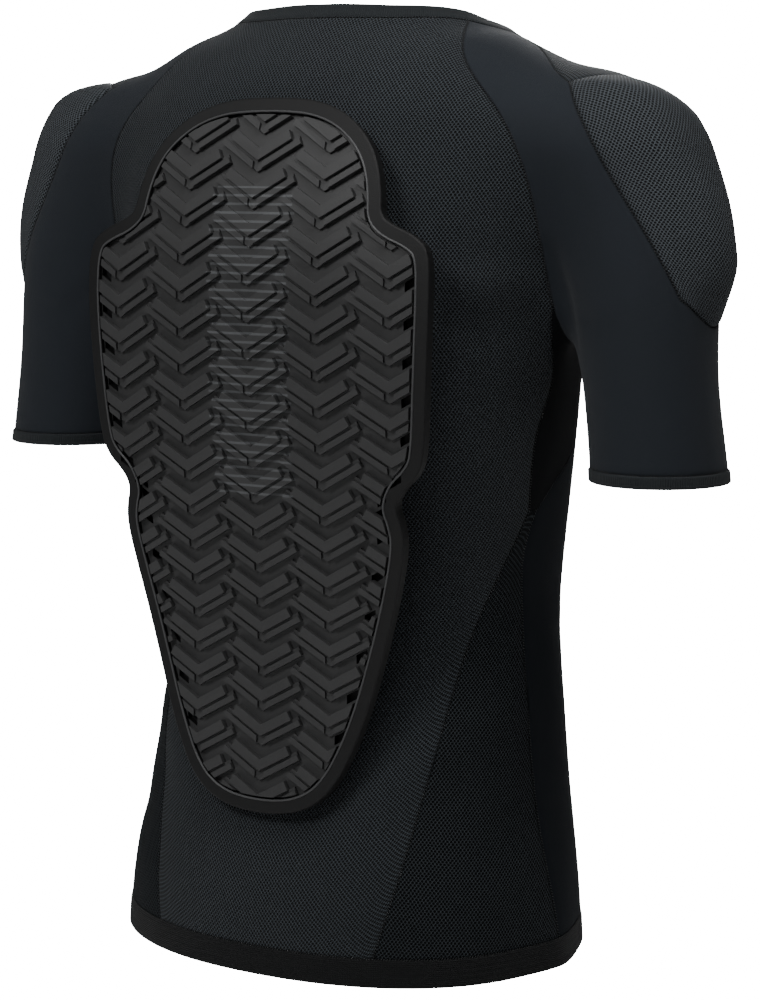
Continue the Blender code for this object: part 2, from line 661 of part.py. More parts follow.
def build_protector(collection, cutters, material):
    shape = bmesh.new()
    prism(shape, outline_loop(), 0.0, PROTECTOR_BASE + PROTECTOR_RIM_HEIGHT)
    plate = flat_object("protector_blank", shape, cutters)

    inner = outline_loop(PROTECTOR_RIM_WIDTH)
    shape = bmesh.new()
    prism(shape, inner, PROTECTOR_BASE, 0.02)
    combine(plate, flat_object("protector_floor_cutter", shape, cutters), "DIFFERENCE")

    clip = bmesh.new()
    prism(clip, outline_loop(PROTECTOR_RIM_WIDTH + 0.0025), -0.01, 0.03)
    tread_field = flat_object("tread_clip", clip, cutters)
    levels = (
        (TREAD_LEDGE, 0.0, TREAD_STEP, TREAD_REACH),
        (TREAD_STRIP, TREAD_STEP - 0.0006, TREAD_BAND, TREAD_STRIP_REACH),
    )
    for level, low, high, reach in levels:
        shape = bmesh.new()
        for x, z in tread_places():
            prism(shape, chevron(x, z, low, high, reach), PROTECTOR_BASE - 0.001, PROTECTOR_BASE + level)
        blocks = flat_object("tread_blocks", shape, cutters)
        combine(blocks, tread_field, "INTERSECT")
        combine(plate, blocks, "UNION")

    bent = bmesh.new()
    bent.from_mesh(plate.data)
    bmesh.ops.remove_doubles(bent, verts=bent.verts, dist=1e-6)
    bmesh.ops.dissolve_limit(bent, angle_limit=0.002, verts=bent.verts, edges=bent.edges)
    for across in np.arange(-0.11, 0.111, 0.0275):
        under = [f for f in bent.faces if f.normal.z < -0.9]
        geometry = under + list({e for f in under for e in f.edges}) + list({v for f in under for v in f.verts})
        bmesh.ops.bisect_plane(bent, geom=geometry, plane_co=(across, 0, 0), plane_no=(1, 0, 0))
    for up in np.arange(-0.50, -0.05, 0.0225):
        under = [f for f in bent.faces if f.normal.z < -0.9]
        geometry = under + list({e for f in under for e in f.edges}) + list({v for f in under for v in f.verts})
        bmesh.ops.bisect_plane(bent, geom=geometry, plane_co=(0, up, 0), plane_no=(0, 1, 0))
    bmesh.ops.triangulate(bent, faces=bent.faces, quad_method="BEAUTY", ngon_method="BEAUTY")
    flat = np.array([v.co[:] for v in bent.verts])
    for vertex, place in zip(bent.verts, on_back(flat)):
        vertex.co = place
    if bent.calc_volume(signed=True) < 0:
        bmesh.ops.reverse_faces(bent, faces=bent.faces)
    mesh = bpy.data.meshes.new("back_protector")
    bent.to_mesh(mesh)
    bent.free()
    mesh.shade_flat()
    mesh.materials.append(material)
    collection.objects.link(bpy.data.objects.new("back_protector", mesh))


def main():
    clear_scene()
    shirt = named_collection("padded_compression_shirt")
    cutters = named_collection("cutters", hidden=True)
    materials = {
        "mesh_knit": make_material("mesh_knit", (0.020, 0.028, 0.033), 0.85, 0.2),
        "smooth_knit": make_material("smooth_knit", (0.015, 0.021, 0.026), 0.7, 0.2),
        "elastic_band": make_material("elastic_band", (0.006, 0.007, 0.008), 0.8),
        "protector_foam": make_material("protector_foam", (0.035, 0.036, 0.038), 0.55),
    }
    seams = make_seams()
    cuff_seam = build_cloth(seams, shirt, materials)
    build_bands(seams, cuff_seam, shirt, materials)
    build_protector(shirt, cutters, materials["protector_foam"])
    for spare in list(cutters.objects):
        bpy.data.objects.remove(spare, do_unlink=True)


main()
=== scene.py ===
"""Looks of a padded compression shirt: knit cloth, bands, shoulder pads, seams and back protector.

Metres, +Z up.  The front of the shirt faces -Y and the wearer's left arm is at +X.
The cloth lies on one smooth skin.  Seams are curves on it, and each panel is a wall between them.
"""
import math

import bmesh
import bpy
import numpy as np
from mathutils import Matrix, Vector


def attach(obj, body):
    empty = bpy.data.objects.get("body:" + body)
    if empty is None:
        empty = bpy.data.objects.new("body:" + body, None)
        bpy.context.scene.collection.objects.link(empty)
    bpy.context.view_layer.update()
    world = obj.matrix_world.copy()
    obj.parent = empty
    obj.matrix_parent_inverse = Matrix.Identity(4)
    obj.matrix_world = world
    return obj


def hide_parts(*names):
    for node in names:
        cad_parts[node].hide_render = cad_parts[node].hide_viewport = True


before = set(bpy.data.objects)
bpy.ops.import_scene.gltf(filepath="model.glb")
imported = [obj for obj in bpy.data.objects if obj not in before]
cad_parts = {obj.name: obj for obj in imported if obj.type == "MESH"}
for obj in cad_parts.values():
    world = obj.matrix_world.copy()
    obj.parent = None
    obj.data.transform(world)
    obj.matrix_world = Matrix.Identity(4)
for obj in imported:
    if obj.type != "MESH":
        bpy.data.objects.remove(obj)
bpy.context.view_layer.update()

# Cloth and bands.
SEAM_GAP = 0.0002
KNIT = 0.0012
MESH_KNIT = 0.0016
PAD_HEIGHT = 0.0165
PAD_EDGE = 0.046
PAD_LIP = 0.30
PAD_BACKING = 0.0030
COLLAR_HEIGHT = 0.0120
CUFF_HEIGHT = 0.0088
HEM_HEIGHT = 0.0200
BAND_WALL = 0.0024
BAND_PROUD = 0.0006
CUFF_PROUD = 0.0013
HEM_RIBS = 14
HEM_RIB_HEIGHT = 0.00018
CUFF_SEAM_Z = -0.2925
HEM_SEAM_Z = -0.6310
SEAM_DIP = 0.0006
SEAM_LAP = 0.0004
FOLD_ROUND = 0.4
MESH_SWAY = 0.0022
SEAM_LINE_REACH = 0.0016
PUCKER_REACH = 0.009
FINE = 4
EDGE_SHARE = 0.10

# The worn form, as sections of the trunk and the arm, and the line over the shoulder.
TORSO = [  # z, half_width, half_depth, centre_y
    (0.060, 0.150, 0.070, -0.006),
    (0.000, 0.172, 0.086, -0.004),
    (-0.050, 0.186, 0.102, -0.002),
    (-0.100, 0.184, 0.116, 0.000),
    (-0.150, 0.176, 0.126, 0.000),
    (-0.210, 0.167, 0.130, -0.003),
    (-0.300, 0.156, 0.125, -0.009),
    (-0.360, 0.147, 0.117, -0.016),
    (-0.410, 0.1435, 0.112, -0.017),
    (-0.470, 0.151, 0.118, -0.008),
    (-0.540, 0.160, 0.125, -0.001),
    (-0.600, 0.169, 0.133, 0.005),
    (-0.680, 0.174, 0.138, 0.007),
]
ARM = [  # z, centre_x, centre_y, half_width, half_depth
    (0.000, 0.200, -0.004, 0.048, 0.058),
    (-0.070, 0.206, -0.002, 0.048, 0.058),
    (-0.110, 0.222, 0.002, 0.048, 0.056),
    (-0.150, 0.234, 0.007, 0.047, 0.053),
    (-0.230, 0.2425, 0.014, 0.0435, 0.047),
    (-0.310, 0.250, 0.015, 0.0465, 0.0475),
    (-0.340, 0.252, 0.017, 0.0465, 0.0475),
]
SHOULDER = [  # across, top_z
    (0.000, 0.016),
    (0.090, 0.009),
    (0.130, 0.003),
    (0.155, -0.005),
    (0.178, -0.017),
    (0.215, -0.030),
    (0.280, -0.060),
]
TORSO_SQUARENESS = 2.2
SHOULDER_FALL = 2.5
SHOULDER_TOP_Y = 0.006
SHOULDER_BLEND = 0.05
ARM_TOP_Z = -0.085
ARM_TOP_HEIGHT = 0.048
ARM_BLEND = 0.055
NECK_HALF_WIDTH = 0.092
NECK_HALF_DEPTH = 0.078
NECK_Y = -0.0274
NECK_LEAN = 0.25
NECK_LEAN_REACH = 0.06
NECK_STEEPNESS = 0.08
NECK_BLEND = 0.03

# Seams of the wearer's left half: x, y, z of the few points that each seam runs through.
NECK_RAGLAN_BACK = (0.098, 0.012, 0.009)
NECK_RIDGE = (0.118, -0.022, -0.001)
NECK_RAGLAN_FRONT = (0.093, -0.077, -0.023)
ARMPIT_BACK = (0.177, 0.035, -0.182)
ARMPIT_FRONT = (0.181, -0.022, -0.184)
GUSSET_TIP_BACK = (0.149, 0.014, -0.329)
GUSSET_TIP_FRONT = (0.148, 0.006, -0.329)
CAP_TOP_BACK = (0.189, 0.035, -0.040)
CAP_TOP_FRONT = (0.229, -0.034, -0.055)
CAP_END_BACK = (0.274, 0.040, -0.177)
CAP_END_FRONT = (0.267, -0.030, -0.174)
SHOULDER_LOW_FRONT = (0.148, -0.076, -0.085)
HEM_BACK = (0.090, 0.126, HEM_SEAM_Z)
HEM_FRONT = (0.172, 0.016, HEM_SEAM_Z)
SEAMS = {
    "neck_back": [(0.0, 0.057, 0.011), (0.055, 0.046, 0.011), NECK_RAGLAN_BACK],
    "neck_strip": [NECK_RAGLAN_BACK, (0.112, -0.003, 0.002), NECK_RIDGE],
    "neck_side": [NECK_RIDGE, (0.112, -0.050, -0.012), NECK_RAGLAN_FRONT],
    "neck_front": [(0.0, -0.110, -0.040), (0.052, -0.102, -0.034), NECK_RAGLAN_FRONT],
    "raglan_back": [
        NECK_RAGLAN_BACK, (0.111, 0.043, -0.006), (0.117, 0.053, -0.015), (0.147, 0.064, -0.051),
        (0.165, 0.062, -0.079), (0.174, 0.053, -0.119), (0.176, 0.046, -0.153), ARMPIT_BACK,
    ],
    "gusset_back": [
        ARMPIT_BACK, (0.169, 0.021, -0.215), (0.163, 0.013, -0.240), (0.159, 0.017, -0.259),
        (0.156, 0.020, -0.280), GUSSET_TIP_BACK,
    ],
    "side_back": [
        GUSSET_TIP_BACK, (0.133, 0.034, -0.380), (0.121, 0.053, -0.427), (0.116, 0.075, -0.475),
        (0.105, 0.103, -0.555), HEM_BACK,
    ],
    "hem_back": [(0.0, 0.142, HEM_SEAM_Z), (0.062, 0.135, HEM_SEAM_Z), HEM_BACK],
    "hem_side": [HEM_BACK, (0.129, 0.103, HEM_SEAM_Z), (0.163, 0.055, HEM_SEAM_Z), HEM_FRONT],
    "hem_front": [
        (0.0, -0.130, HEM_SEAM_Z), (0.070, -0.122, HEM_SEAM_Z), (0.130, -0.093, HEM_SEAM_Z),
        (0.165, -0.045, HEM_SEAM_Z), HEM_FRONT,
    ],
    "side_front": [
        GUSSET_TIP_FRONT, (0.144, 0.012, -0.353), (0.141, 0.008, -0.398), (0.148, 0.013, -0.463),
        (0.166, 0.018, -0.582), HEM_FRONT,
    ],
    "gusset_tip": [GUSSET_TIP_BACK, GUSSET_TIP_FRONT],
    "gusset_front": [
        ARMPIT_FRONT, (0.170, -0.027, -0.198), (0.160, -0.045, -0.222), (0.152, -0.057, -0.255),
        (0.150, -0.051, -0.287), (0.155, -0.020, -0.306), GUSSET_TIP_FRONT,
    ],
    "underarm": [ARMPIT_BACK, (0.180, 0.008, -0.210), ARMPIT_FRONT],
    "raglan_front_high": [NECK_RAGLAN_FRONT, (0.120, -0.080, -0.046), SHOULDER_LOW_FRONT],
    "raglan_front_low": [
        SHOULDER_LOW_FRONT, (0.166, -0.062, -0.115), (0.175, -0.045, -0.145), (0.178, -0.034, -0.165),
        ARMPIT_FRONT,
    ],
    "ridge": [
        NECK_RIDGE, (0.130, -0.014, -0.008), (0.145, -0.002, -0.014), (0.171, 0.024, -0.032), CAP_TOP_BACK,
    ],
    "cap_top": [CAP_TOP_BACK, (0.204, 0.016, -0.035), (0.219, -0.010, -0.040), CAP_TOP_FRONT],
    "cap_back": [
        CAP_TOP_BACK, (0.195, 0.043, -0.047), (0.214, 0.055, -0.072), (0.233, 0.055, -0.102),
        (0.261, 0.050, -0.146), CAP_END_BACK,
    ],
    "cap_end": [
        CAP_END_BACK, (0.282, 0.026, -0.189), (0.2845, 0.008, -0.197), (0.279, -0.012, -0.190),
        CAP_END_FRONT,
    ],
    "cap_front": [
        CAP_TOP_FRONT, (0.245, -0.043, -0.085), (0.256, -0.040, -0.120), (0.265, -0.034, -0.150),
        CAP_END_FRONT,
    ],
    "shoulder_low": [CAP_TOP_FRONT, (0.202, -0.060, -0.070), SHOULDER_LOW_FRONT],
    "sleeve_back": [
        ARMPIT_BACK, (0.195, 0.042, -0.186), (0.212, 0.053, -0.190), (0.240, 0.060, -0.187), CAP_END_BACK,
    ],
    "sleeve_front": [CAP_END_FRONT, (0.240, -0.041, -0.178), (0.208, -0.034, -0.182), ARMPIT_FRONT],
}
STATIONS = {  # how many steps each seam is marked off in
    "neck_back": 8, "neck_strip": 5, "neck_side": 5, "neck_front": 8,
    "raglan_back": 14, "gusset_back": 5, "side_back": 10,
    "hem_back": 8, "hem_side": 4, "hem_front": 8,
    "side_front": 10, "gusset_tip": 4, "gusset_front": 5, "underarm": 4,
    "raglan_front_high": 3, "raglan_front_low": 8,
    "ridge": 6, "cap_top": 5, "cap_back": 8, "cap_end": 5, "cap_front": 8,
    "shoulder_low": 3, "sleeve_back": 5, "sleeve_front": 3,
}
JOINTS = {"ridge": [3], "raglan_back": [3, 6]}  # cut marks where another seam meets this one
SEWN = [
    "raglan_back", "gusset_back", "side_back", "side_front", "gusset_front", "underarm", "raglan_front_high",
    "raglan_front_low", "ridge", "cap_top", "cap_back", "cap_end", "cap_front", "shoulder_low",
]
SLEEVE_ROWS = 6
SLEEVE_TWIST = 0.7

# Soft creases of both halves of the shirt, given for the left one.  A depth below zero stands out.
CREASES = [  # start, end, width, depth, share of the depth on the right half
    ((0.182, 0.052, -0.150), (0.192, 0.036, -0.206), 0.012, 0.0030, 1.2),
    ((0.186, 0.050, -0.172), (0.222, 0.064, -0.205), 0.011, 0.0016, 0.8),
    ((0.186, -0.036, -0.176), (0.224, -0.038, -0.212), 0.010, 0.0016, 1.1),
    ((0.171, -0.055, -0.150), (0.120, -0.104, -0.190), 0.012, 0.0018, 0.7),
    ((0.128, 0.092, -0.138), (0.120, 0.091, -0.236), 0.007, 0.0014, 1.5),
    ((0.132, 0.090, -0.168), (0.166, 0.058, -0.170), 0.017, -0.0016, 1.4),
    ((0.130, 0.089, -0.200), (0.168, 0.050, -0.204), 0.016, 0.0015, 1.4),
    ((0.164, 0.030, -0.235), (0.146, 0.060, -0.290), 0.011, 0.0012, 1.2),
    ((0.112, 0.106, -0.300), (0.126, 0.088, -0.318), 0.010, -0.0012, 1.3),
    ((0.146, -0.030, -0.385), (0.080, -0.108, -0.405), 0.012, 0.0016, 0.6),
    ((0.141, -0.045, -0.425), (0.070, -0.112, -0.437), 0.010, 0.0012, 1.3),
    ((0.142, 0.020, -0.405), (0.100, 0.068, -0.440), 0.012, 0.0012, 0.9),
    ((0.077, 0.108, -0.524), (0.146, 0.020, -0.462), 0.022, -0.0020, 1.3),
    ((0.098, 0.102, -0.585), (0.162, 0.034, -0.545), 0.020, 0.0017, 1.3),
]

# Back protector: height against half width of its outline, and its own back line.
PROTECTOR_OUTLINE = [  # z, half_width
    (-0.0490, 0.0160), (-0.0512, 0.0390), (-0.0590, 0.0620), (-0.0735, 0.0815), (-0.0910, 0.0930),
    (-0.1120, 0.0985), (-0.1230, 0.0995), (-0.1290, 0.1060), (-0.1360, 0.1250), (-0.1465, 0.1375),
    (-0.1800, 0.1385), (-0.2280, 0.1360), (-0.2780, 0.1325), (-0.2930, 0.1270), (-0.3050, 0.1135),
    (-0.3155, 0.1090), (-0.3270, 0.1130), (-0.3420, 0.1145), (-0.3700, 0.1085), (-0.4020, 0.1000),
    (-0.4360, 0.0905), (-0.4660, 0.0815), (-0.4920, 0.0715), (-0.5150, 0.0595), (-0.5310, 0.0430),
    (-0.5390, 0.0180),
]
PROTECTOR_BACK = [  # z, y
    (-0.020, 0.0840), (-0.060, 0.1062), (-0.100, 0.1198), (-0.150, 0.1306), (-0.210, 0.1325),
    (-0.300, 0.1255), (-0.400, 0.1155), (-0.480, 0.1168), (-0.560, 0.1260),
]
PROTECTOR_HALF_SPAN = 0.14
PROTECTOR_SPAN = 0.54
PROTECTOR_BOW = 0.38
PROTECTOR_CLEAR = 0.0010
PROTECTOR_BASE = 0.0065
PROTECTOR_RIM_WIDTH = 0.0095
PROTECTOR_RIM_HEIGHT = 0.0035
PROTECTOR_CUTS = 0.0110
CUTTER_REACH = 0.02
RIM_ROUND = 0.0014
BEAD_RADIUS = 0.0008
TREAD_TOP = -0.0228
TREAD_COLUMN = 0.0545
TREAD_PITCH = 0.0247
TREAD_SLOPE = 0.5700
TREAD_REACH = 0.0318
TREAD_STRIP_REACH = 0.0243
TREAD_STEP = 0.0070
TREAD_BAND = 0.0150
TREAD_BAR_BAND = 0.0047
TREAD_TIP = 0.0037
TREAD_LEDGE = 0.0020
TREAD_BAR = 0.0038
TREAD_STRIP = 0.0046
TREAD_ROUND = 0.0006
VENT_WIDTH = 0.0085
VENT_HEIGHT = 0.0062
VENT_DEPTH = 0.0042
VENT_TOP = -0.150
VENT_BOTTOM = -0.480
VENT_STEP_IN = -0.330
VENT_TO_RIM = 0.0008
VENT_TO_BLOCK = 0.0012
TREAD_UNDER_RIM = 0.0020
TREAD_SINK = 0.0010
TREAD_LEDGE_LAP = 0.0006
BEAD_LAP = 0.0002

# Printed stripes down the middle of the protector.
STRIPE_STEP = 0.0058
STRIPE_SHARE = 0.14
STRIPE_HALF_WIDTH = 0.0325
STRIPE_TOP = -0.104
STRIPE_BOTTOM = -0.318
STRIPE_COLOUR = (0.11, 0.115, 0.12)

# Cloths: the pattern's own values, its relief, the range of roughness, and how the yarn shines.
YARN_ROWS = {"Wale": 0.0007, "Course": 0.0006}
FINE_ROWS = {"Wale": 0.00042, "Course": 0.00036}
RIB_ROWS = {"Wale": 0.0016, "Course": 0.0008}
ELASTIC_ROWS = {"Wale": 0.0012, "Course": 0.0010}
PANEL_HOLES = {"Pitch": 0.0027, "Row": 0.0036, "Size": 0.31}
PAD_HOLES = {"Pitch": 0.0023, "Row": 0.0032, "Size": 0.29}
# Holes are painted this share of the deep colour: painted shade of the dark inside seen through them.
HOLE_SHADE = 0.10
SEAM_SHADE = 0.3
DRY = (0.72, 0.90)
SOFT = {"sheen_weight": 0.06, "sheen_roughness": 0.5, "specular_ior_level": 0.2}
FLAT = {"sheen_weight": 0.0, "specular_ior_level": 0.1}
CLOTHS = {  # deep colour, lit colour, pattern, values, relief, roughness, seam_shade, own
    "mesh_knit": (
        (0.0085, 0.0118, 0.0150), (0.062, 0.0735, 0.0850),
        "mesh_holes", PANEL_HOLES, 0.0005, DRY, True, SOFT),
    # A lighter copy of the mesh knit for the shoulder caps: painted light on the caps.
    "pad_mesh_painted_light": (
        (0.0150, 0.0195, 0.0240), (0.104, 0.118, 0.132),
        "mesh_holes", PAD_HOLES, 0.0005, DRY, True, SOFT),
    # A darker copy of the mesh knit for the side panels, without sheen: painted shade on the flanks.
    "flank_mesh_painted_shade": (
        (0.0065, 0.0084, 0.0102), (0.050, 0.0575, 0.0640),
        "mesh_holes", PANEL_HOLES, 0.0005, DRY, True, FLAT),
    "smooth_knit": (
        (0.0096, 0.0124, 0.0168), (0.0166, 0.0204, 0.0262),
        "knit_rows", FINE_ROWS, 0.00005, DRY, True, SOFT),
    # A darker copy of the smooth knit for the front panel, without sheen: painted shade on the shaded flank.
    "front_knit_painted_shade": (
        (0.0062, 0.0078, 0.0102), (0.0112, 0.0136, 0.0170),
        "knit_rows", FINE_ROWS, 0.00005, DRY, True, FLAT),
    # Near-black knit of the gussets: partly their own dark cloth, partly painted shade of the armpit.
    "dark_knit_and_shade": (
        (0.0022, 0.0027, 0.0034), (0.0044, 0.0052, 0.0062),
        "knit_rows", FINE_ROWS, 0.00005, DRY, True, FLAT),
    "band_knit": (
        (0.010, 0.0128, 0.0148), (0.021, 0.0245, 0.027),
        "knit_rows", RIB_ROWS, 0.0003, DRY, False, SOFT),
    "hem_elastic": (
        (0.0022, 0.0025, 0.0028), (0.0058, 0.0064, 0.0069),
        "knit_rows", ELASTIC_ROWS, 0.0002, (0.6, 0.8), False, SOFT),
}
FOAM_GRAIN = 0.00015
FOAMS = {  # deep colour, lit colour, roughness, striped
    # The rim, the plate's sides and the vent walls are painted far darker than the tread: painted shade of
    # the falling rim and inside the vents.
    "foam_rim_painted_shade": ((0.0048, 0.0049, 0.0051), (0.0080, 0.0081, 0.0084), (0.55, 0.68), False),
    # The bead is painted far lighter than the rim: painted highlight along its top.
    "foam_bead_painted_highlight": ((0.045, 0.046, 0.047), (0.075, 0.076, 0.078), (0.35, 0.45), False),
    "foam_tread": ((0.0300, 0.0302, 0.0306), (0.046, 0.0463, 0.0468), (0.42, 0.55), True),
}
STITCH = {"Step": 0.0020, "Reach": 0.0018, "Slant": math.radians(62), "Thread": 0.00014, "Rise": 0.0003}

# The studio, with the camera where the photographer stood.
CAMERA_PLACE = (-1.00685, 1.61129, -0.077)
CAMERA_TURN = math.radians(31.52)
CAMERA_FALL = math.radians(7.68)
CAMERA_LENS = 94.53
FLOOR_Z = -0.80
WHITE = 24.0
ROOM_LIGHT = 0.004
LIT_PLACE = (0, 0, -0.3)
LIGHTS = [  # name, place, size, power
    ("key", (0.45, 2.15, 1.45), 1.0, 39.0),
    ("blade", (-0.45, 1.00, 0.95), 0.4, 2.4),
    ("neck", (-0.40, 0.50, 0.90), 0.5, 5.6),
    ("shoulder", (-0.90, 0.10, 1.00), 0.5, 6.0),
    ("front", (1.10, -2.40, 0.90), 1.6, 60.0),
]


# The skin.
def natural_spline(rows):
    """Return a smooth function through a table whose first column is the position."""
    table = np.array(rows, float)
    table = table[np.argsort(table[:, 0])]
    knots, values = table[:, 0], table[:, 1:]
    gaps = np.diff(knots)
    count = len(knots)
    left = np.eye(count)
    right = np.zeros_like(values)
    for i in range(1, count - 1):
        left[i, i - 1:i + 2] = gaps[i - 1], 2 * (gaps[i - 1] + gaps[i]), gaps[i]
        rise_after = (values[i + 1] - values[i]) / gaps[i]
        rise_before = (values[i] - values[i - 1]) / gaps[i - 1]
        right[i] = 6 * (rise_after - rise_before)
    bend = np.linalg.solve(left, right)

    def at(where):
        where = np.clip(np.asarray(where, float), knots[0], knots[-1])
        i = np.clip(np.searchsorted(knots, where, side="right") - 1, 0, count - 2)
        step = (where - knots[i])[..., None]
        gap = gaps[i][..., None]
        rise = (values[i + 1] - values[i]) / gap - gap * (2 * bend[i] + bend[i + 1]) / 6
        return values[i] + step * (rise + step * (bend[i] / 2 + step * (bend[i + 1] - bend[i]) / (6 * gap)))

    return at


torso_at = natural_spline(TORSO)
arm_at = natural_spline(ARM)
shoulder_at = natural_spline(SHOULDER)


def merge(first, second, reach):
    """Smallest of two distances, rounded where they meet."""
    overlap = np.maximum(reach - np.abs(first - second), 0) / reach
    return np.minimum(first, second) - overlap * overlap * reach / 4


def skin(p):
    """Signed distance, near enough, from the surface that the cloth lies on."""
    x, y, z = np.abs(p[..., 0]), p[..., 1], p[..., 2]
    width, depth, centre = np.moveaxis(torso_at(z), -1, 0)
    n = TORSO_SQUARENESS
    ring = ((x / width) ** n + (np.abs(y - centre) / depth) ** n) ** (1 / n)
    torso = (ring - 1) * np.minimum(width, depth)
    top = z - shoulder_at(x)[..., 0] + SHOULDER_FALL * (y - SHOULDER_TOP_Y) ** 2
    torso = -merge(-torso, -top, SHOULDER_BLEND)
    centre_x, centre_y, width, depth = np.moveaxis(arm_at(z), -1, 0)
    crown = np.maximum(z - ARM_TOP_Z, 0) / ARM_TOP_HEIGHT
    arm = (np.sqrt(((x - centre_x) / width) ** 2 + ((y - centre_y) / depth) ** 2 + crown ** 2) - 1) * width
    neck_y = NECK_Y - NECK_LEAN * np.clip(z, -NECK_LEAN_REACH, NECK_LEAN_REACH)
    neck_ring = np.sqrt((x / NECK_HALF_WIDTH) ** 2 + ((y - neck_y) / NECK_HALF_DEPTH) ** 2)
    neck = (neck_ring - 1) * NECK_STEEPNESS
    return merge(merge(torso, arm, ARM_BLEND), neck, NECK_BLEND)


def slope(p, step=1e-4):
    """Gradient of the distance from the skin."""
    parts = []
    for axis in range(3):
        shift = np.zeros(3)
        shift[axis] = step
        parts.append((skin(p + shift) - skin(p - shift)) / (2 * step))
    return np.stack(parts, -1)


def settle(p, times=8):
    """Slide points onto the skin."""
    p = np.array(p, float)
    for _ in range(times):
        g = slope(p)
        p = p - (skin(p) / np.maximum((g * g).sum(-1), 1e-6))[..., None] * g
    return p


def outward(p):
    g = slope(p)
    return g / np.linalg.norm(g, axis=-1, keepdims=True)


# Seams.
def lengths(points):
    """How far along a line each of its points lies."""
    return np.concatenate([[0], np.cumsum(np.linalg.norm(np.diff(points, axis=0), axis=1))])


def evenly(points, count):
    """Points at equal steps along a line of points."""
    along = lengths(points)
    where = np.linspace(0, along[-1], count + 1)
    return np.stack([np.interp(where, along, points[:, k]) for k in range(3)], -1)


def seam_line(guide, count):
    """Cut marks at equal steps along a smooth line through the guide points, on the skin."""
    guide = np.array(guide, float)
    along = lengths(guide)
    curve = natural_spline(np.column_stack([along, guide]))
    line = settle(curve(np.linspace(0, along[-1], 12 * count + 1)))
    return settle(evenly(line, count))


def make_seams():
    """The cut marks of every seam, with shared corners made the same point."""
    seams = {name: seam_line(guide, STATIONS[name]) for name, guide in SEAMS.items()}
    corners = {}
    for line in seams.values():
        for end in (0, -1):
            key = tuple(np.round(line[end], 3))
            line[end] = corners.setdefault(key, line[end].copy())
    for name in ("neck_back", "neck_front", "hem_back", "hem_front"):
        seams[name][0, 0] = 0.0
    return seams


def fine_places(count, joints=()):
    """Places between cut marks, with one more close to each end and to each side of a joint."""
    close = [joint + side * EDGE_SHARE for joint in joints for side in (-1, 1)]
    inside = np.arange(0, count * FINE + 1) / FINE
    return np.sort(np.concatenate([inside, [EDGE_SHARE, count - EDGE_SHARE], close]))


class Edge:
    """One side of a panel: its cut marks, its fine points and where those lie between the marks."""

    def __init__(self, marks, fine, places):
        self.marks, self.fine, self.places = marks, fine, places

    @classmethod
    def of(cls, line, joints=()):
        places = fine_places(len(line) - 1, joints)
        fine = settle(natural_spline(np.column_stack([np.arange(len(line)), line]))(places))
        fine[0], fine[-1] = line[0], line[-1]
        return cls(line, fine, places)

    def __add__(self, other):
        return Edge(
            np.concatenate([self.marks, other.marks[1:]]),
            np.concatenate([self.fine, other.fine[1:]]),
            np.concatenate([self.places, other.places[1:] + len(self.marks) - 1]),
        )

    def turned(self):
        return Edge(self.marks[::-1], self.fine[::-1], (len(self.marks) - 1 - self.places)[::-1])

    def mirrored(self):
        return Edge(self.marks * (-1, 1, 1), self.fine * (-1, 1, 1), self.places)

    def both_halves(self):
        return self.turned().mirrored() + self


# Panels.
def fill(top, bottom, start, end, rounds=30):
    """Grid of skin points between four rows of cut marks: rows run from top to bottom."""
    u = np.linspace(0, 1, len(top))[None, :, None]
    v = np.linspace(0, 1, len(start))[:, None, None]
    grid = (1 - v) * top[None] + v * bottom[None] + (1 - u) * start[:, None] + u * end[:, None]
    grid = grid - ((1 - u) * (1 - v) * top[0] + u * (1 - v) * top[-1]
                   + (1 - u) * v * bottom[0] + u * v * bottom[-1])
    grid = settle(grid)
    for _ in range(rounds):
        middle = (grid[:-2, 1:-1] + grid[2:, 1:-1] + grid[1:-1, :-2] + grid[1:-1, 2:]) / 4
        grid[1:-1, 1:-1] = settle(0.5 * grid[1:-1, 1:-1] + 0.5 * middle, 2)
    grid[0], grid[-1], grid[:, 0], grid[:, -1] = top, bottom, start, end
    return grid


def spread(grid, places):
    """Smooth curves down the columns of a grid, read at places given in rows."""
    rows = np.column_stack([np.arange(len(grid)), grid.reshape(len(grid), -1)])
    return natural_spline(rows)(places).reshape(len(places), *grid.shape[1:])


def panel(top, bottom, start, end):
    """Fine grid of skin points between four edges."""
    grid = fill(top.marks, bottom.marks, start.marks, end.marks)
    grid = spread(grid, start.places)
    grid[:, 0], grid[:, -1] = start.fine, end.fine
    grid = spread(grid.swapaxes(0, 1), top.places).swapaxes(0, 1)
    grid = settle(grid, 4)
    grid[0], grid[-1], grid[:, 0], grid[:, -1] = top.fine, bottom.fine, start.fine, end.fine
    return grid


def flat_places(grid):
    """Where each grid point lies on the flat cut, in metres from its middle."""
    def along(axis):
        steps = np.linalg.norm(np.diff(grid, axis=axis), axis=2)
        start = np.zeros_like(steps[:1] if axis == 0 else steps[:, :1])
        return np.concatenate([start, steps.cumsum(axis)], axis)

    across, down = along(1), along(0)
    return np.stack([across - across[:, -1:] / 2, down[-1:] / 2 - down], -1)


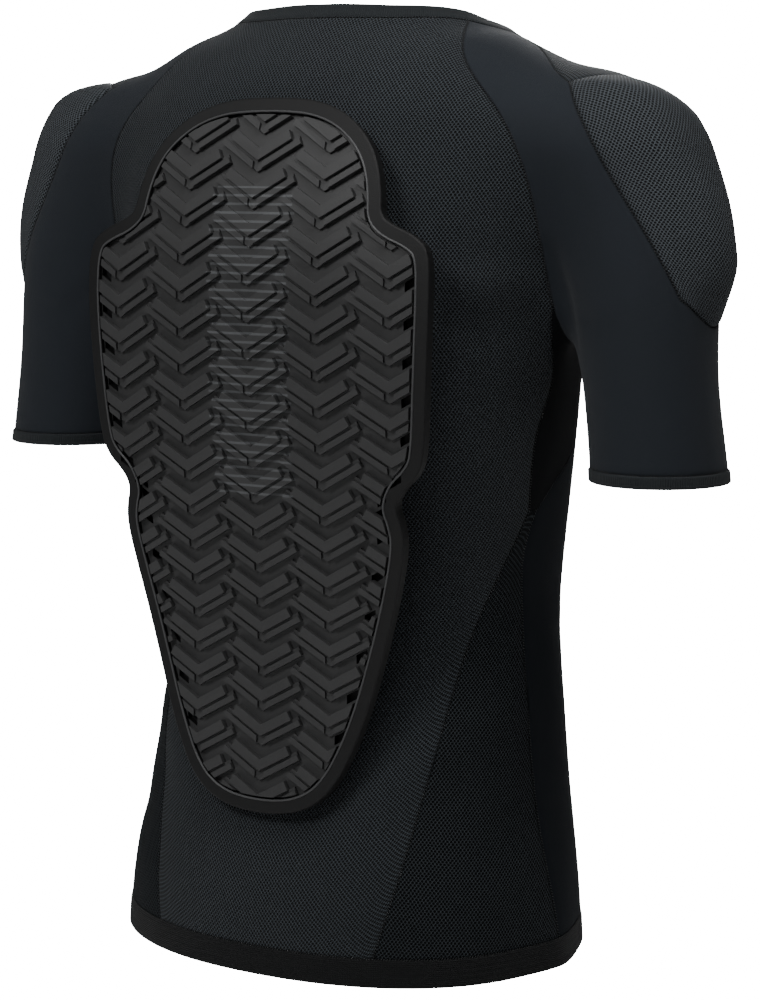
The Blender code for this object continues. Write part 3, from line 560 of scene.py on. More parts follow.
class Cloth:
    """Points, four-sided faces, and each face corner's place on the flat cut."""

    def __init__(self, *grids):
        self.faces, self.places, points, known = [], [], [], {}
        for grid in grids:
            flat = flat_places(grid)
            rows, columns = grid.shape[:2]
            index = np.empty((rows, columns), int)
            for r in range(rows):
                for c in range(columns):
                    key = tuple(np.round(grid[r, c], 6))
                    if key not in known:
                        known[key] = len(points)
                        points.append(grid[r, c])
                    index[r, c] = known[key]
            for r in range(rows - 1):
                for c in range(columns - 1):
                    corners = [(r, c), (r + 1, c), (r + 1, c + 1), (r, c + 1)]
                    face = [int(index[at]) for at in corners]
                    if len(set(face)) == 4:
                        self.faces.append(face)
                        self.places.append([tuple(flat[at]) for at in corners])
        self.points = np.array(points)
        self.normals = outward(self.points)
        a, b, c, d = np.array(self.faces).T
        faced = np.cross(self.points[c] - self.points[a], self.points[d] - self.points[b])
        if (faced * self.normals[a]).sum() < 0:
            self.faces = [face[::-1] for face in self.faces]
            self.places = [place[::-1] for place in self.places]

    def border(self):
        """Directed edges that only one face uses, each with its corners' flat places."""
        edges = {}
        for face, place in zip(self.faces, self.places):
            for k in range(4):
                edges[(face[k], face[(k + 1) % 4])] = (place[k], place[(k + 1) % 4])
        return {edge: place for edge, place in edges.items() if edge[::-1] not in edges}


def pull_in(points, normals, border, distance):
    """Move the border back from the seam, square to it."""
    after = {a: b for a, b in border}
    before = {b: a for a, b in border}
    moved = points.copy()
    for i in after:
        sides = []
        for a, b in ((before[i], i), (i, after[i])):
            along = points[b] - points[a]
            side = np.cross(normals[i], along)
            sides.append(side / np.linalg.norm(side))
        share = max(1 + float(sides[0] @ sides[1]), 0.35)
        moved[i] = points[i] + distance * (sides[0] + sides[1]) / share
    return moved


def seam_reach(points, border):
    """Distance of every point from the panel's nearest seam."""
    edge = points[sorted({i for pair in border for i in pair})]
    reach = np.empty(len(points))
    for start in range(0, len(points), 1500):
        part = points[start:start + 1500]
        reach[start:start + 1500] = np.linalg.norm(part[:, None] - edge[None], axis=2).min(1)
    return reach


def crease_height(points):
    """How far the worn cloth stands out or in along its creases."""
    height = np.zeros(len(points))
    mirrored = np.where(points[:, :1] < 0, -1.0, 1.0)
    folded = points * np.concatenate([mirrored, np.ones((len(points), 2))], 1)
    right = mirrored[:, 0] < 0
    for start, end, width, depth, right_share in CREASES:
        start, end = np.array(start), np.array(end)
        line = end - start
        share = np.clip((folded - start) @ line / (line @ line), 0, 1)
        reach = np.linalg.norm(folded - start - share[:, None] * line, axis=1) / width
        taper = np.sin(math.pi * (0.15 + 0.7 * share))
        height -= depth * taper * (1 - reach ** 2) * np.exp(-reach ** 2) * np.where(right, right_share, 1.0)
    return height


def put(name, data):
    """Place a mesh, a lamp or the camera in the scene as an object."""
    made = bpy.data.objects.new(name, data)
    bpy.context.scene.collection.objects.link(made)
    return made


def make_mesh(name, points, faces, places, material, reach=None, hard=40):
    """A piece of points and faces, with its flat cut as UV map in metres."""
    mesh = bpy.data.meshes.new(name)
    mesh.from_pydata(points.tolist(), [], faces)
    cut = mesh.uv_layers.new(name="cut")
    cut.data.foreach_set("uv", np.array([uv for place in places for uv in place]).ravel())
    if reach is not None:
        to_seam = mesh.attributes.new("to_seam", "FLOAT", "POINT")
        to_seam.data.foreach_set("value", reach)
    mesh.shade_smooth()
    mesh.set_sharp_from_angle(angle=math.radians(hard))
    mesh.materials.append(material)
    return put(name, mesh)


def wall(name, cloth, thickness, material, raised=None):
    """Close a panel: outer points, inner points and the cut edge, rolled down into the seam."""
    border = cloth.border()
    reach = seam_reach(cloth.points, border)
    height = crease_height(cloth.points)
    if raised is not None:
        height = height + raised(reach)
    height[sorted({i for pair in border for i in pair})] -= SEAM_DIP
    flat = pull_in(cloth.points, cloth.normals, border, SEAM_GAP / 2)
    lapped = pull_in(cloth.points, cloth.normals, border, -SEAM_LAP)
    outer = flat + cloth.normals * height[:, None]
    inner = lapped + cloth.normals * (np.minimum(height, 0.0) - thickness)[:, None]
    count = len(flat)
    faces = list(cloth.faces) + [[i + count for i in face[::-1]] for face in cloth.faces]
    places = list(cloth.places) + [place[::-1] for place in cloth.places]
    for (a, b), (flat_a, flat_b) in border.items():
        faces.append([b, a, a + count, b + count])
        places.append([flat_b, flat_a, flat_a, flat_b])
    points = np.concatenate([outer, inner])
    return make_mesh(name, points, faces, places, material, np.tile(reach, 2))


def wall_pair(name, cloth, thickness, material, raised=None):
    """The wearer's left piece and its mirror twin on the right."""
    left = wall(name + "_left", cloth, thickness, material, raised)
    twin = object.__new__(Cloth)
    twin.points = cloth.points * (-1, 1, 1)
    twin.normals = cloth.normals * (-1, 1, 1)
    twin.faces = [face[::-1] for face in cloth.faces]
    twin.places = [[(-u, v) for u, v in place[::-1]] for place in cloth.places]
    right = wall(name + "_right", twin, thickness, material, raised)
    return left, right


def sleeve_tube(edges):
    """Fine grid from the top ring of the sleeve down to the cuff seam, closed round the arm."""
    top = edges[0] + edges[1] + edges[2] + edges[3]
    ring = top.marks[:-1]
    centre = arm_at(ring[:, 2])
    turn = np.unwrap(np.arctan2(ring[:, 1] - centre[:, 1], ring[:, 0] - centre[:, 0]))
    whole = math.copysign(2 * math.pi, turn[-1] - turn[0])
    even = turn.mean() + whole * (np.arange(len(ring)) / len(ring) - 0.5 + 0.5 / len(ring))
    turn = SLEEVE_TWIST * turn + (1 - SLEEVE_TWIST) * even
    centre_x, centre_y, width, depth = arm_at(CUFF_SEAM_Z)
    cuff = settle(np.stack([centre_x + width * np.cos(turn), centre_y + depth * np.sin(turn),
                            np.full(len(ring), CUFF_SEAM_Z)], -1))
    cuff[:, 2] = CUFF_SEAM_Z
    share = np.linspace(0, 1, SLEEVE_ROWS + 1)[:, None, None]
    rows = settle((1 - share) * ring[None] + share * cuff[None])
    rows[0], rows[-1] = ring, cuff
    for _ in range(20):
        beside = (np.roll(rows, 1, 1) + np.roll(rows, -1, 1))[1:-1]
        rows[1:-1] = settle((rows[1:-1] * 2 + beside + rows[:-2] + rows[2:]) / 6, 2)
    extra = 4
    round_twice = np.concatenate([rows[:, -extra:], rows, rows[:, :extra + 1]], 1)
    grid = spread(round_twice, fine_places(SLEEVE_ROWS))
    grid = spread(grid.swapaxes(0, 1), top.places + extra).swapaxes(0, 1)
    grid = settle(grid, 4)
    grid[0] = top.fine
    grid[-1, :, 2] = CUFF_SEAM_Z
    grid[:, -1] = grid[:, 0]
    return grid


def pad_profile(reach):
    """Height of the pad over its cloth: a short lip at the seams, then a soft rise to the flat middle."""
    share = np.clip(reach / PAD_EDGE, 0, 1)
    lip = np.sqrt(1 - (1 - share) ** 2)
    rise = share * share * (3 - 2 * share)
    return PAD_HEIGHT * (PAD_LIP * lip + (1 - PAD_LIP) * rise)


# Bands.
def band(name, seam, away, profile, material):
    """Closed ring along a seam: profile is (distance from the seam, height over the skin)."""
    along = np.roll(seam, -1, 0) - np.roll(seam, 1, 0)
    normals = outward(seam)
    side = np.cross(normals, along)
    side /= np.linalg.norm(side, axis=1, keepdims=True)
    side *= np.sign((side * away).sum(1, keepdims=True))
    lap = np.concatenate([[0], np.cumsum(np.linalg.norm(np.roll(seam, -1, 0) - seam, axis=1))])
    points, down = [], []
    for distance, height in profile:
        row = settle(seam + side * distance, 4)
        points.append(row + outward(row) * height)
        down.append(-distance)
    count, rows = len(seam), len(profile)
    faces, places = [], []
    for r in range(rows):
        for c in range(count):
            below, beside = (r + 1) % rows, (c + 1) % count
            corners = [(r, c, c), (r, beside, c + 1), (below, beside, c + 1), (below, c, c)]
            faces.append([row * count + column for row, column, _ in corners])
            places.append([(lap[mark], down[row]) for row, _, mark in corners])
    points = np.concatenate(points)
    made = make_mesh(name, points, faces, places, material, hard=60)
    recalculate(made)
    return made


def recalculate(piece):
    """Turn every face of a closed piece outwards."""
    shape = bmesh.new()
    shape.from_mesh(piece.data)
    bmesh.ops.recalc_face_normals(shape, faces=shape.faces)
    if shape.calc_volume(signed=True) < 0:
        bmesh.ops.reverse_faces(shape, faces=shape.faces)
    shape.to_mesh(piece.data)
    shape.free()


def folded_profile(height, ribs=0, rib_height=0.0, proud=BAND_PROUD):
    """Section of a folded band: rolled at its free edge, with or without raised ribs round it."""
    edge = SEAM_GAP / 2
    fold_reach = BAND_WALL * FOLD_ROUND
    rows = max(8, 6 * ribs)
    outside = []
    for i in range(rows + 1):
        share = i / rows
        distance = edge + (height - edge - fold_reach) * share
        rise = proud * min(1.0, 0.1 + share * 7)
        rise += rib_height * math.cos(2 * math.pi * ribs * share) if ribs else 0.0
        outside.append((distance, rise))
    fold = []
    for k in range(1, 6):
        turn = math.pi * k / 6
        fold.append((height - fold_reach + fold_reach * math.sin(turn),
                     proud - BAND_WALL / 2 + BAND_WALL / 2 * math.cos(turn)))
    inside = [(height - fold_reach, proud - BAND_WALL), (height / 2, -BAND_WALL), (edge, -BAND_WALL)]
    return outside + fold + inside


# The back protector.
back_line = natural_spline(PROTECTOR_BACK)


def on_back(flat):
    """Bend flat points (across, up, out) onto the protector's own curved back."""
    across, up, out = flat[:, 0], flat[:, 1], flat[:, 2]

    def surface(x, z):
        return np.stack([x, back_line(z)[:, 0] - PROTECTOR_BOW * x * x, z], -1)

    step = 1e-4
    base = surface(across, up)
    along_x = surface(across + step, up) - surface(across - step, up)
    along_z = surface(across, up + step) - surface(across, up - step)
    normal = np.cross(along_z, along_x)
    normal /= np.linalg.norm(normal, axis=1, keepdims=True)
    return base + normal * (out + PROTECTOR_CLEAR)[:, None]


def outline_loop(inset=0.0):
    """Outline of the protector, going round from the top, moved in by the inset."""
    half = np.array([(w, z) for z, w in PROTECTOR_OUTLINE])
    loop = np.concatenate([half, half[::-1] * (-1, 1)])
    before, after = np.roll(loop, 1, 0) - loop, np.roll(loop, -1, 0) - loop
    before /= -np.linalg.norm(before, axis=1, keepdims=True)
    after /= np.linalg.norm(after, axis=1, keepdims=True)
    inward = np.stack([before[:, 1], -before[:, 0]], -1) + np.stack([after[:, 1], -after[:, 0]], -1)
    length = np.linalg.norm(inward, axis=1, keepdims=True)
    return loop + inward / length * inset * 2 / np.maximum(length, 1.2)


def rounded_loop(inset=0.0, times=2):
    """The outline with its corners eased by cutting them again and again."""
    loop = outline_loop(inset)
    for _ in range(times):
        after = np.roll(loop, -1, 0)
        loop = np.stack([0.75 * loop + 0.25 * after, 0.25 * loop + 0.75 * after], 1).reshape(-1, 2)
    return loop


def prism(shape, loop, low, high):
    """Add a flat prism over a loop of (across, up) points."""
    under = [shape.verts.new((x, z, low)) for x, z in loop]
    over = [shape.verts.new((x, z, high)) for x, z in loop]
    shape.faces.new(under[::-1])
    shape.faces.new(over)
    for i in range(len(loop)):
        j = (i + 1) % len(loop)
        shape.faces.new((under[i], under[j], over[j], over[i]))


def shape_object(name, shape):
    """Turn a bmesh into an object of the scene, with its faces pointing outwards."""
    mesh = bpy.data.meshes.new(name)
    bmesh.ops.recalc_face_normals(shape, faces=shape.faces)
    shape.to_mesh(mesh)
    shape.free()
    return put(name, mesh)


def prism_object(name, loops, low, high):
    """Flat prisms over several loops, as one object."""
    shape = bmesh.new()
    for loop in loops:
        prism(shape, loop, low, high)
    return shape_object(name, shape)


def drop(*spares):
    for spare in spares:
        bpy.data.objects.remove(spare, do_unlink=True)


def bake_modifiers(piece):
    """Keep what the modifiers make, and take them off."""
    graph = bpy.context.evaluated_depsgraph_get()
    result = bpy.data.meshes.new_from_object(piece.evaluated_get(graph))
    piece.modifiers.clear()
    piece.data = result


def cut_away(piece, tool):
    step = piece.modifiers.new("cut_away", "BOOLEAN")
    step.operation = "DIFFERENCE"
    step.object = tool
    step.solver = "EXACT"
    bake_modifiers(piece)
    drop(tool)


def round_edges(piece, width, segments=2, angle=35):
    step = piece.modifiers.new("round_edges", "BEVEL")
    step.width = width
    step.segments = segments
    step.limit_method = "ANGLE"
    step.angle_limit = math.radians(angle)
    step.harden_normals = False
    bake_modifiers(piece)


def chevron_loop(low, high, reach):
    """Corner points of a V, point down at (0, low), its ends cut square to its arms."""
    inner = reach - (high - low) * TREAD_SLOPE / (1 + TREAD_SLOPE ** 2)
    return [
        (-reach, TREAD_SLOPE * reach + low), (0.0, low), (reach, TREAD_SLOPE * reach + low),
        (inner, TREAD_SLOPE * inner + high), (0.0, high), (-inner, TREAD_SLOPE * inner + high),
    ]


def arm_loop(side):
    """Corner points of the raised bar along one arm, from beside the tip to the arm's end."""
    inner = TREAD_REACH - TREAD_BAR_BAND * TREAD_SLOPE / (1 + TREAD_SLOPE ** 2)
    loop = [
        (TREAD_TIP, TREAD_SLOPE * TREAD_TIP), (TREAD_REACH, TREAD_SLOPE * TREAD_REACH),
        (inner, TREAD_SLOPE * inner + TREAD_BAR_BAND), (TREAD_TIP, TREAD_SLOPE * TREAD_TIP + TREAD_BAR_BAND),
    ]
    return loop if side > 0 else [(-x, z) for x, z in loop[::-1]]


def tread_places():
    """Tip of every V block: five columns, each second one half a step lower."""
    rows = int(PROTECTOR_SPAN / TREAD_PITCH) + 1
    for column in (-2, -1, 0, 1, 2):
        shift = 0.5 if column % 2 else 0.0
        for row in range(rows):
            yield column * TREAD_COLUMN, TREAD_TOP - (row + shift) * TREAD_PITCH


def vent_loops():
    """Slanted windows beside the rim, one under the end of each outer block."""
    heights, halves_wide = [z for z, w in PROTECTOR_OUTLINE], [w for z, w in PROTECTOR_OUTLINE]
    for x, tip in tread_places():
        column = round(abs(x) / TREAD_COLUMN)
        if not VENT_BOTTOM < tip < VENT_TOP or column != (2 if tip > VENT_STEP_IN else 1):
            continue
        half = np.interp(-tip, [-z for z in heights], halves_wide) - PROTECTOR_RIM_WIDTH - VENT_TO_RIM
        side = math.copysign(1.0, x)
        out, near = half, half - VENT_WIDTH
        low = tip + TREAD_SLOPE * max(near - abs(x), 0.0) - VENT_HEIGHT - VENT_TO_BLOCK
        tilt = TREAD_SLOPE * VENT_WIDTH
        loop = [(side * near, low), (side * out, low + tilt), (side * out, low + tilt + VENT_HEIGHT),
                (side * near, low + VENT_HEIGHT)]
        yield loop if side > 0 else loop[::-1]


def bend_onto_back(piece, step=PROTECTOR_CUTS):
    """Cut a flat piece into narrow strips both ways, then bend it onto the wearer's back."""
    shape = bmesh.new()
    shape.from_mesh(piece.data)
    for normal, reach in (((1, 0, 0), PROTECTOR_HALF_SPAN), ((0, 1, 0), PROTECTOR_SPAN)):
        for at in np.arange(-reach, reach, step):
            place = Vector(normal) * float(at)
            everything = shape.verts[:] + shape.edges[:] + shape.faces[:]
            bmesh.ops.bisect_plane(shape, geom=everything, plane_co=place, plane_no=normal)
    bmesh.ops.triangulate(shape, faces=[f for f in shape.faces if len(f.verts) > 4])
    flat = np.array([v.co[:] for v in shape.verts])
    for vertex, place in zip(shape.verts, on_back(flat)):
        vertex.co = place
    if shape.calc_volume(signed=True) < 0:
        bmesh.ops.reverse_faces(shape, faces=shape.faces)
    shape.to_mesh(piece.data)
    shape.free()


# Geometry node trees.
def new_tree(name, sockets):
    """Empty geometry node tree with a geometry in and out and the named inputs."""
    tree = bpy.data.node_groups.new(name, "GeometryNodeTree")
    tree.interface.new_socket("Geometry", in_out="OUTPUT", socket_type="NodeSocketGeometry")
    tree.interface.new_socket("Geometry", in_out="INPUT", socket_type="NodeSocketGeometry")
    for label, kind in sockets.items():
        tree.interface.new_socket(label, in_out="INPUT", socket_type="NodeSocket" + kind)
    return tree, add(tree, "NodeGroupInput")


def add(tree, kind, inputs=None, **settings):
    """Add a node, with its settings, and its inputs as values or links."""
    made = tree.nodes.new(kind)
    for key, value in settings.items():
        setattr(made, key, value)
    for key, value in (inputs or {}).items():
        if isinstance(value, bpy.types.NodeSocket):
            tree.links.new(value, made.inputs[key])
        else:
            made.inputs[key].default_value = value
    return made


def maths(tree, operation, first, second=0.0, clamp=False):
    """Add a Math node and return its result."""
    made = add(tree, "ShaderNodeMath", {0: first, 1: second}, operation=operation, use_clamp=clamp)
    return made.outputs[0]


def vectors(tree, operation, first, second):
    """Add a Vector Math node and return its result."""
    return add(tree, "ShaderNodeVectorMath", {0: first, 1: second}, operation=operation).outputs[0]


def noise(tree, place, scale, detail):
    return add(tree, "ShaderNodeTexNoise", {"Vector": place, "Scale": scale, "Detail": detail})


def close_tree(tree, geometry, material):
    """End a tree in plain geometry with its material."""
    real = add(tree, "GeometryNodeRealizeInstances", {"Geometry": geometry})
    dressed = add(tree, "GeometryNodeSetMaterial", {"Geometry": real.outputs[0], "Material": material})
    add(tree, "NodeGroupOutput", {"Geometry": dressed.outputs[0]})
    return tree


def run_tree(piece, tree, values):
    """Run a geometry node tree on a piece and keep its result as a plain mesh."""
    step = piece.modifiers.new(tree.name, "NODES")
    step.node_group = tree
    for socket in tree.interface.items_tree:
        if socket.in_out == "INPUT" and socket.name in values:
            step[socket.identifier] = values[socket.name]
    bake_modifiers(piece)
    return piece


def stitch_tree():
    """Short thread arcs across a line, at equal steps, lying on the cloth."""
    tree, given = new_tree("seam_stitches", {
        "Step": "Float", "Reach": "Float", "Slant": "Float", "Thread": "Float", "Rise": "Float",
        "Material": "Material"})
    line = add(tree, "GeometryNodeMeshToCurve", {"Mesh": given.outputs["Geometry"]})
    marks = add(tree, "GeometryNodeResampleCurve", {
        "Curve": line.outputs[0], "Length": given.outputs["Step"]}, mode="LENGTH")
    half = maths(tree, "MULTIPLY", given.outputs["Reach"], 0.5)
    back_half = maths(tree, "MULTIPLY", half, -1.0)
    start = add(tree, "ShaderNodeCombineXYZ", {"X": back_half, "Y": 0.0, "Z": 0.0})
    top = add(tree, "ShaderNodeCombineXYZ", {"X": 0.0, "Y": 0.0, "Z": given.outputs["Rise"]})
    end = add(tree, "ShaderNodeCombineXYZ", {"X": half, "Y": 0.0, "Z": 0.0})
    arc = add(tree, "GeometryNodeCurveQuadraticBezier", {
        "Resolution": 3, "Start": start.outputs[0], "Middle": top.outputs[0], "End": end.outputs[0]})
    section = add(tree, "GeometryNodeCurvePrimitiveCircle", {
        "Resolution": 4, "Radius": given.outputs["Thread"]})
    thread = add(tree, "GeometryNodeCurveToMesh", {
        "Curve": arc.outputs[0], "Profile Curve": section.outputs[0], "Fill Caps": True})
    up = add(tree, "GeometryNodeInputNamedAttribute", {"Name": "up"}, data_type="FLOAT_VECTOR")
    along = add(tree, "GeometryNodeInputTangent")
    stand = add(tree, "FunctionNodeAlignRotationToVector", {"Vector": up.outputs["Attribute"]}, axis="Z")
    turn = add(tree, "FunctionNodeAlignRotationToVector", {
        "Rotation": stand.outputs[0], "Vector": along.outputs[0]}, axis="X", pivot_axis="Z")
    slant = add(tree, "FunctionNodeAxisAngleToRotation", {
        "Axis": (0.0, 0.0, 1.0), "Angle": given.outputs["Slant"]})
    slanted = add(tree, "FunctionNodeRotateRotation", {
        "Rotation": turn.outputs[0], "Rotate By": slant.outputs[0]}, rotation_space="LOCAL")
    sewn = add(tree, "GeometryNodeInstanceOnPoints", {
        "Points": marks.outputs[0], "Instance": thread.outputs[0], "Rotation": slanted.outputs[0]})
    return close_tree(tree, sewn.outputs[0], given.outputs["Material"])


def cord_edge_tree():
    """A round bead that follows a line."""
    tree, given = new_tree("bead", {"Radius": "Float", "Material": "Material"})
    line = add(tree, "GeometryNodeMeshToCurve", {"Mesh": given.outputs["Geometry"]})
    section = add(tree, "GeometryNodeCurvePrimitiveCircle", {
        "Resolution": 8, "Radius": given.outputs["Radius"]})
    bead = add(tree, "GeometryNodeCurveToMesh", {
        "Curve": line.outputs[0], "Profile Curve": section.outputs[0]})
    return close_tree(tree, bead.outputs[0], given.outputs["Material"])


def tread_tree():
    """One block at every tread mark, cut off at the edge of the tread field."""
    tree, given = new_tree("tread", {"Block": "Object", "Field": "Object", "Material": "Material"})
    block = add(tree, "GeometryNodeObjectInfo", {"Object": given.outputs["Block"]})
    field = add(tree, "GeometryNodeObjectInfo", {"Object": given.outputs["Field"]})
    marks = add(tree, "GeometryNodeMeshToPoints", {"Mesh": given.outputs["Geometry"]})
    blocks = add(tree, "GeometryNodeInstanceOnPoints", {
        "Points": marks.outputs[0], "Instance": block.outputs["Geometry"]})
    real = add(tree, "GeometryNodeRealizeInstances", {"Geometry": blocks.outputs[0]})
    kept = add(tree, "GeometryNodeMeshBoolean", operation="INTERSECT", solver="EXACT")
    tree.links.new(real.outputs[0], kept.inputs["Mesh 2"])
    tree.links.new(field.outputs["Geometry"], kept.inputs["Mesh 2"])
    return close_tree(tree, kept.outputs["Mesh"], given.outputs["Material"])


def line_object(name, lines, closed=False):
    """Lines of skin points as loose edges that remember which way is out of the cloth."""
    points, normals, edges = [], [], []
    for line in lines:
        first = len(points)
        points += line.tolist()
        normals += outward(line).tolist()
        edges += [(first + i, first + i + 1) for i in range(len(line) - 1)]
        if closed:
            edges.append((first + len(line) - 1, first))
    mesh = bpy.data.meshes.new(name)
    mesh.from_pydata(points, edges, [])
    up = mesh.attributes.new("up", "FLOAT_VECTOR", "POINT")
    up.data.foreach_set("vector", np.array(normals).ravel())
    return put(name, mesh)


# Shader node groups.
def new_group(name, inputs, outputs):
    """Empty shader node group: inputs and outputs are name to kind of socket."""
    tree = bpy.data.node_groups.new(name, "ShaderNodeTree")
    for label, (kind, value) in inputs.items():
        socket = tree.interface.new_socket(label, in_out="INPUT", socket_type="NodeSocket" + kind)
        if value is not None:
            socket.default_value = value
    for label, kind in outputs.items():
        tree.interface.new_socket(label, in_out="OUTPUT", socket_type="NodeSocket" + kind)
    return tree, add(tree, "NodeGroupInput")


def cells(tree, place, width, height, shift):
    """Place within one of a grid of cells, from -0.5 to 0.5 each way, in parts of a cell."""
    size = add(tree, "ShaderNodeCombineXYZ", {"X": width, "Y": height, "Z": 1.0})
    moved = vectors(tree, "ADD", vectors(tree, "DIVIDE", place, size.outputs[0]), (shift, shift, 0.0))
    wrapped = add(tree, "ShaderNodeVectorMath", {
        0: moved, 1: (0.5, 0.5, 0.5), 2: (-0.5, -0.5, -0.5)}, operation="WRAP")
    return wrapped.outputs[0]


def make_mesh_holes_group():
    """Staggered round holes of a mesh knit: Hole is 1 in a hole, Height is high between holes."""
    tree, given = new_group("mesh_holes", {
        "Place": ("Vector", None), "Pitch": ("Float", 0.0026), "Row": ("Float", 0.0036),
        "Size": ("Float", 0.27)}, {"Hole": "Float", "Height": "Float"})
    bend = noise(tree, given.outputs["Place"], 45.0, 1.0).outputs["Color"]
    sway = vectors(tree, "SUBTRACT", bend, (0.5, 0.5, 0.5))
    sway = add(tree, "ShaderNodeVectorMath", {0: sway, 3: MESH_SWAY}, operation="SCALE").outputs[0]
    place = vectors(tree, "ADD", given.outputs["Place"], sway)
    flat = vectors(tree, "MULTIPLY", place, (1.0, 1.0, 0.0))
    reaches = []
    for shift in (0.0, 0.5):
        cell = cells(tree, flat, given.outputs["Pitch"], given.outputs["Row"], shift)
        shape = vectors(tree, "MULTIPLY", cell, (1.0, 1.25, 0.0))
        reach = add(tree, "ShaderNodeVectorMath", {0: shape}, operation="LENGTH")
        reaches.append(reach.outputs["Value"])
    nearest = maths(tree, "MINIMUM", *reaches)
    inside = maths(tree, "SUBTRACT", given.outputs["Size"], nearest)
    hole = maths(tree, "MULTIPLY_ADD", inside, 9.0, clamp=True)
    hole.node.inputs[2].default_value = 0.5
    height = maths(tree, "MULTIPLY", nearest, 2.2, clamp=True)
    add(tree, "NodeGroupOutput", {"Hole": hole, "Height": height})
    return tree


def make_knit_rows_group():
    """Fine wales with slanted loops along them: Height over the cloth, and Shade, that relief painted as
    light on the loops and shade between them.
    """
    tree, given = new_group("knit_rows", {
        "Place": ("Vector", None), "Wale": ("Float", 0.0008), "Course": ("Float", 0.0006)}, {
        "Height": "Float", "Shade": "Float"})
    cell = cells(tree, given.outputs["Place"], given.outputs["Wale"], given.outputs["Course"], 0.0)
    part = add(tree, "ShaderNodeSeparateXYZ", {0: cell})
    off_wale = maths(tree, "ABSOLUTE", part.outputs["X"])
    fall = maths(tree, "MULTIPLY", maths(tree, "MULTIPLY", off_wale, off_wale), 4.0)
    round_wale = maths(tree, "SUBTRACT", 1.0, fall)
    slant = maths(tree, "ADD", part.outputs["Y"], off_wale)
    loop = maths(tree, "COSINE", maths(tree, "MULTIPLY", slant, 2 * math.pi))
    height = maths(tree, "ADD", round_wale, maths(tree, "MULTIPLY", loop, 0.35))
    shade = maths(tree, "MULTIPLY", height, 0.75, clamp=True)
    add(tree, "NodeGroupOutput", {"Height": height, "Shade": shade})
    return tree


def make_uneven_group():
    """Slow and fine unevenness of a surface, both from 0 to 1."""
    tree, given = new_group("uneven", {
        "Place": ("Vector", None), "Slow": ("Float", 9.0), "Quick": ("Float", 900.0)}, {
        "Slow": "Float", "Quick": "Float"})
    slow = noise(tree, given.outputs["Place"], given.outputs["Slow"], 3.0)
    quick = noise(tree, given.outputs["Place"], given.outputs["Quick"], 2.0)
    add(tree, "NodeGroupOutput", {"Slow": slow.outputs[0], "Quick": quick.outputs[0]})
    return tree


def make_seam_edge_group():
    """Painted shade and puckers of cloth beside a seam, from the distance to it."""
    tree, given = new_group("seam_edge", {
        "Distance": ("Float", 0.01), "Place": ("Vector", None)}, {"Line": "Float", "Pucker": "Float"})
    reach = given.outputs["Distance"]
    near = maths(tree, "SUBTRACT", 1.0, maths(tree, "DIVIDE", reach, SEAM_LINE_REACH), clamp=True)
    around = maths(tree, "SUBTRACT", 1.0, maths(tree, "DIVIDE", reach, PUCKER_REACH), clamp=True)
    waves = noise(tree, given.outputs["Place"], 170.0, 1.0)
    pucker = maths(tree, "MULTIPLY", around, waves.outputs[0])
    add(tree, "NodeGroupOutput", {"Line": near, "Pucker": pucker})
    return tree


GROUPS = {}


def build_groups():
    for make in (make_mesh_holes_group, make_knit_rows_group, make_uneven_group, make_seam_edge_group):
        tree = make()
        GROUPS[tree.name] = tree


def use_group(tree, name, inputs):
    return add(tree, "ShaderNodeGroup", inputs, node_tree=GROUPS[name])


def blend_colours(tree, share, first, second):
    """Mix two colours, each a colour or a socket."""
    first, second = ((*side, 1.0) if isinstance(side, tuple) else side for side in (first, second))
    return add(tree, "ShaderNodeMix", {0: share, 6: first, 7: second}, data_type="RGBA").outputs[2]


def new_material(name, **values):
    """Material with a Principled BSDF whose constant values are set on its own sockets."""
    material = bpy.data.materials.new(name)
    material.use_nodes = True
    tree = material.node_tree
    shader = tree.nodes["Principled BSDF"]
    for key, value in values.items():
        shader.inputs[key.replace("_", " ").title().replace("Ior", "IOR")].default_value = value
    return material, tree, shader


def finish_surface(tree, shader, colour, rough_share, roughness, height=None, distance=0.0):
    """Give a material its colour, its uneven roughness and its fine relief."""
    tree.links.new(colour, shader.inputs["Base Color"])
    rough = add(tree, "ShaderNodeMapRange", {
        "Value": rough_share, "To Min": roughness[0], "To Max": roughness[1]})
    tree.links.new(rough.outputs[0], shader.inputs["Roughness"])
    if height is not None:
        bump = add(tree, "ShaderNodeBump", {"Height": height, "Distance": distance, "Strength": 1.0})
        tree.links.new(bump.outputs[0], shader.inputs["Normal"])


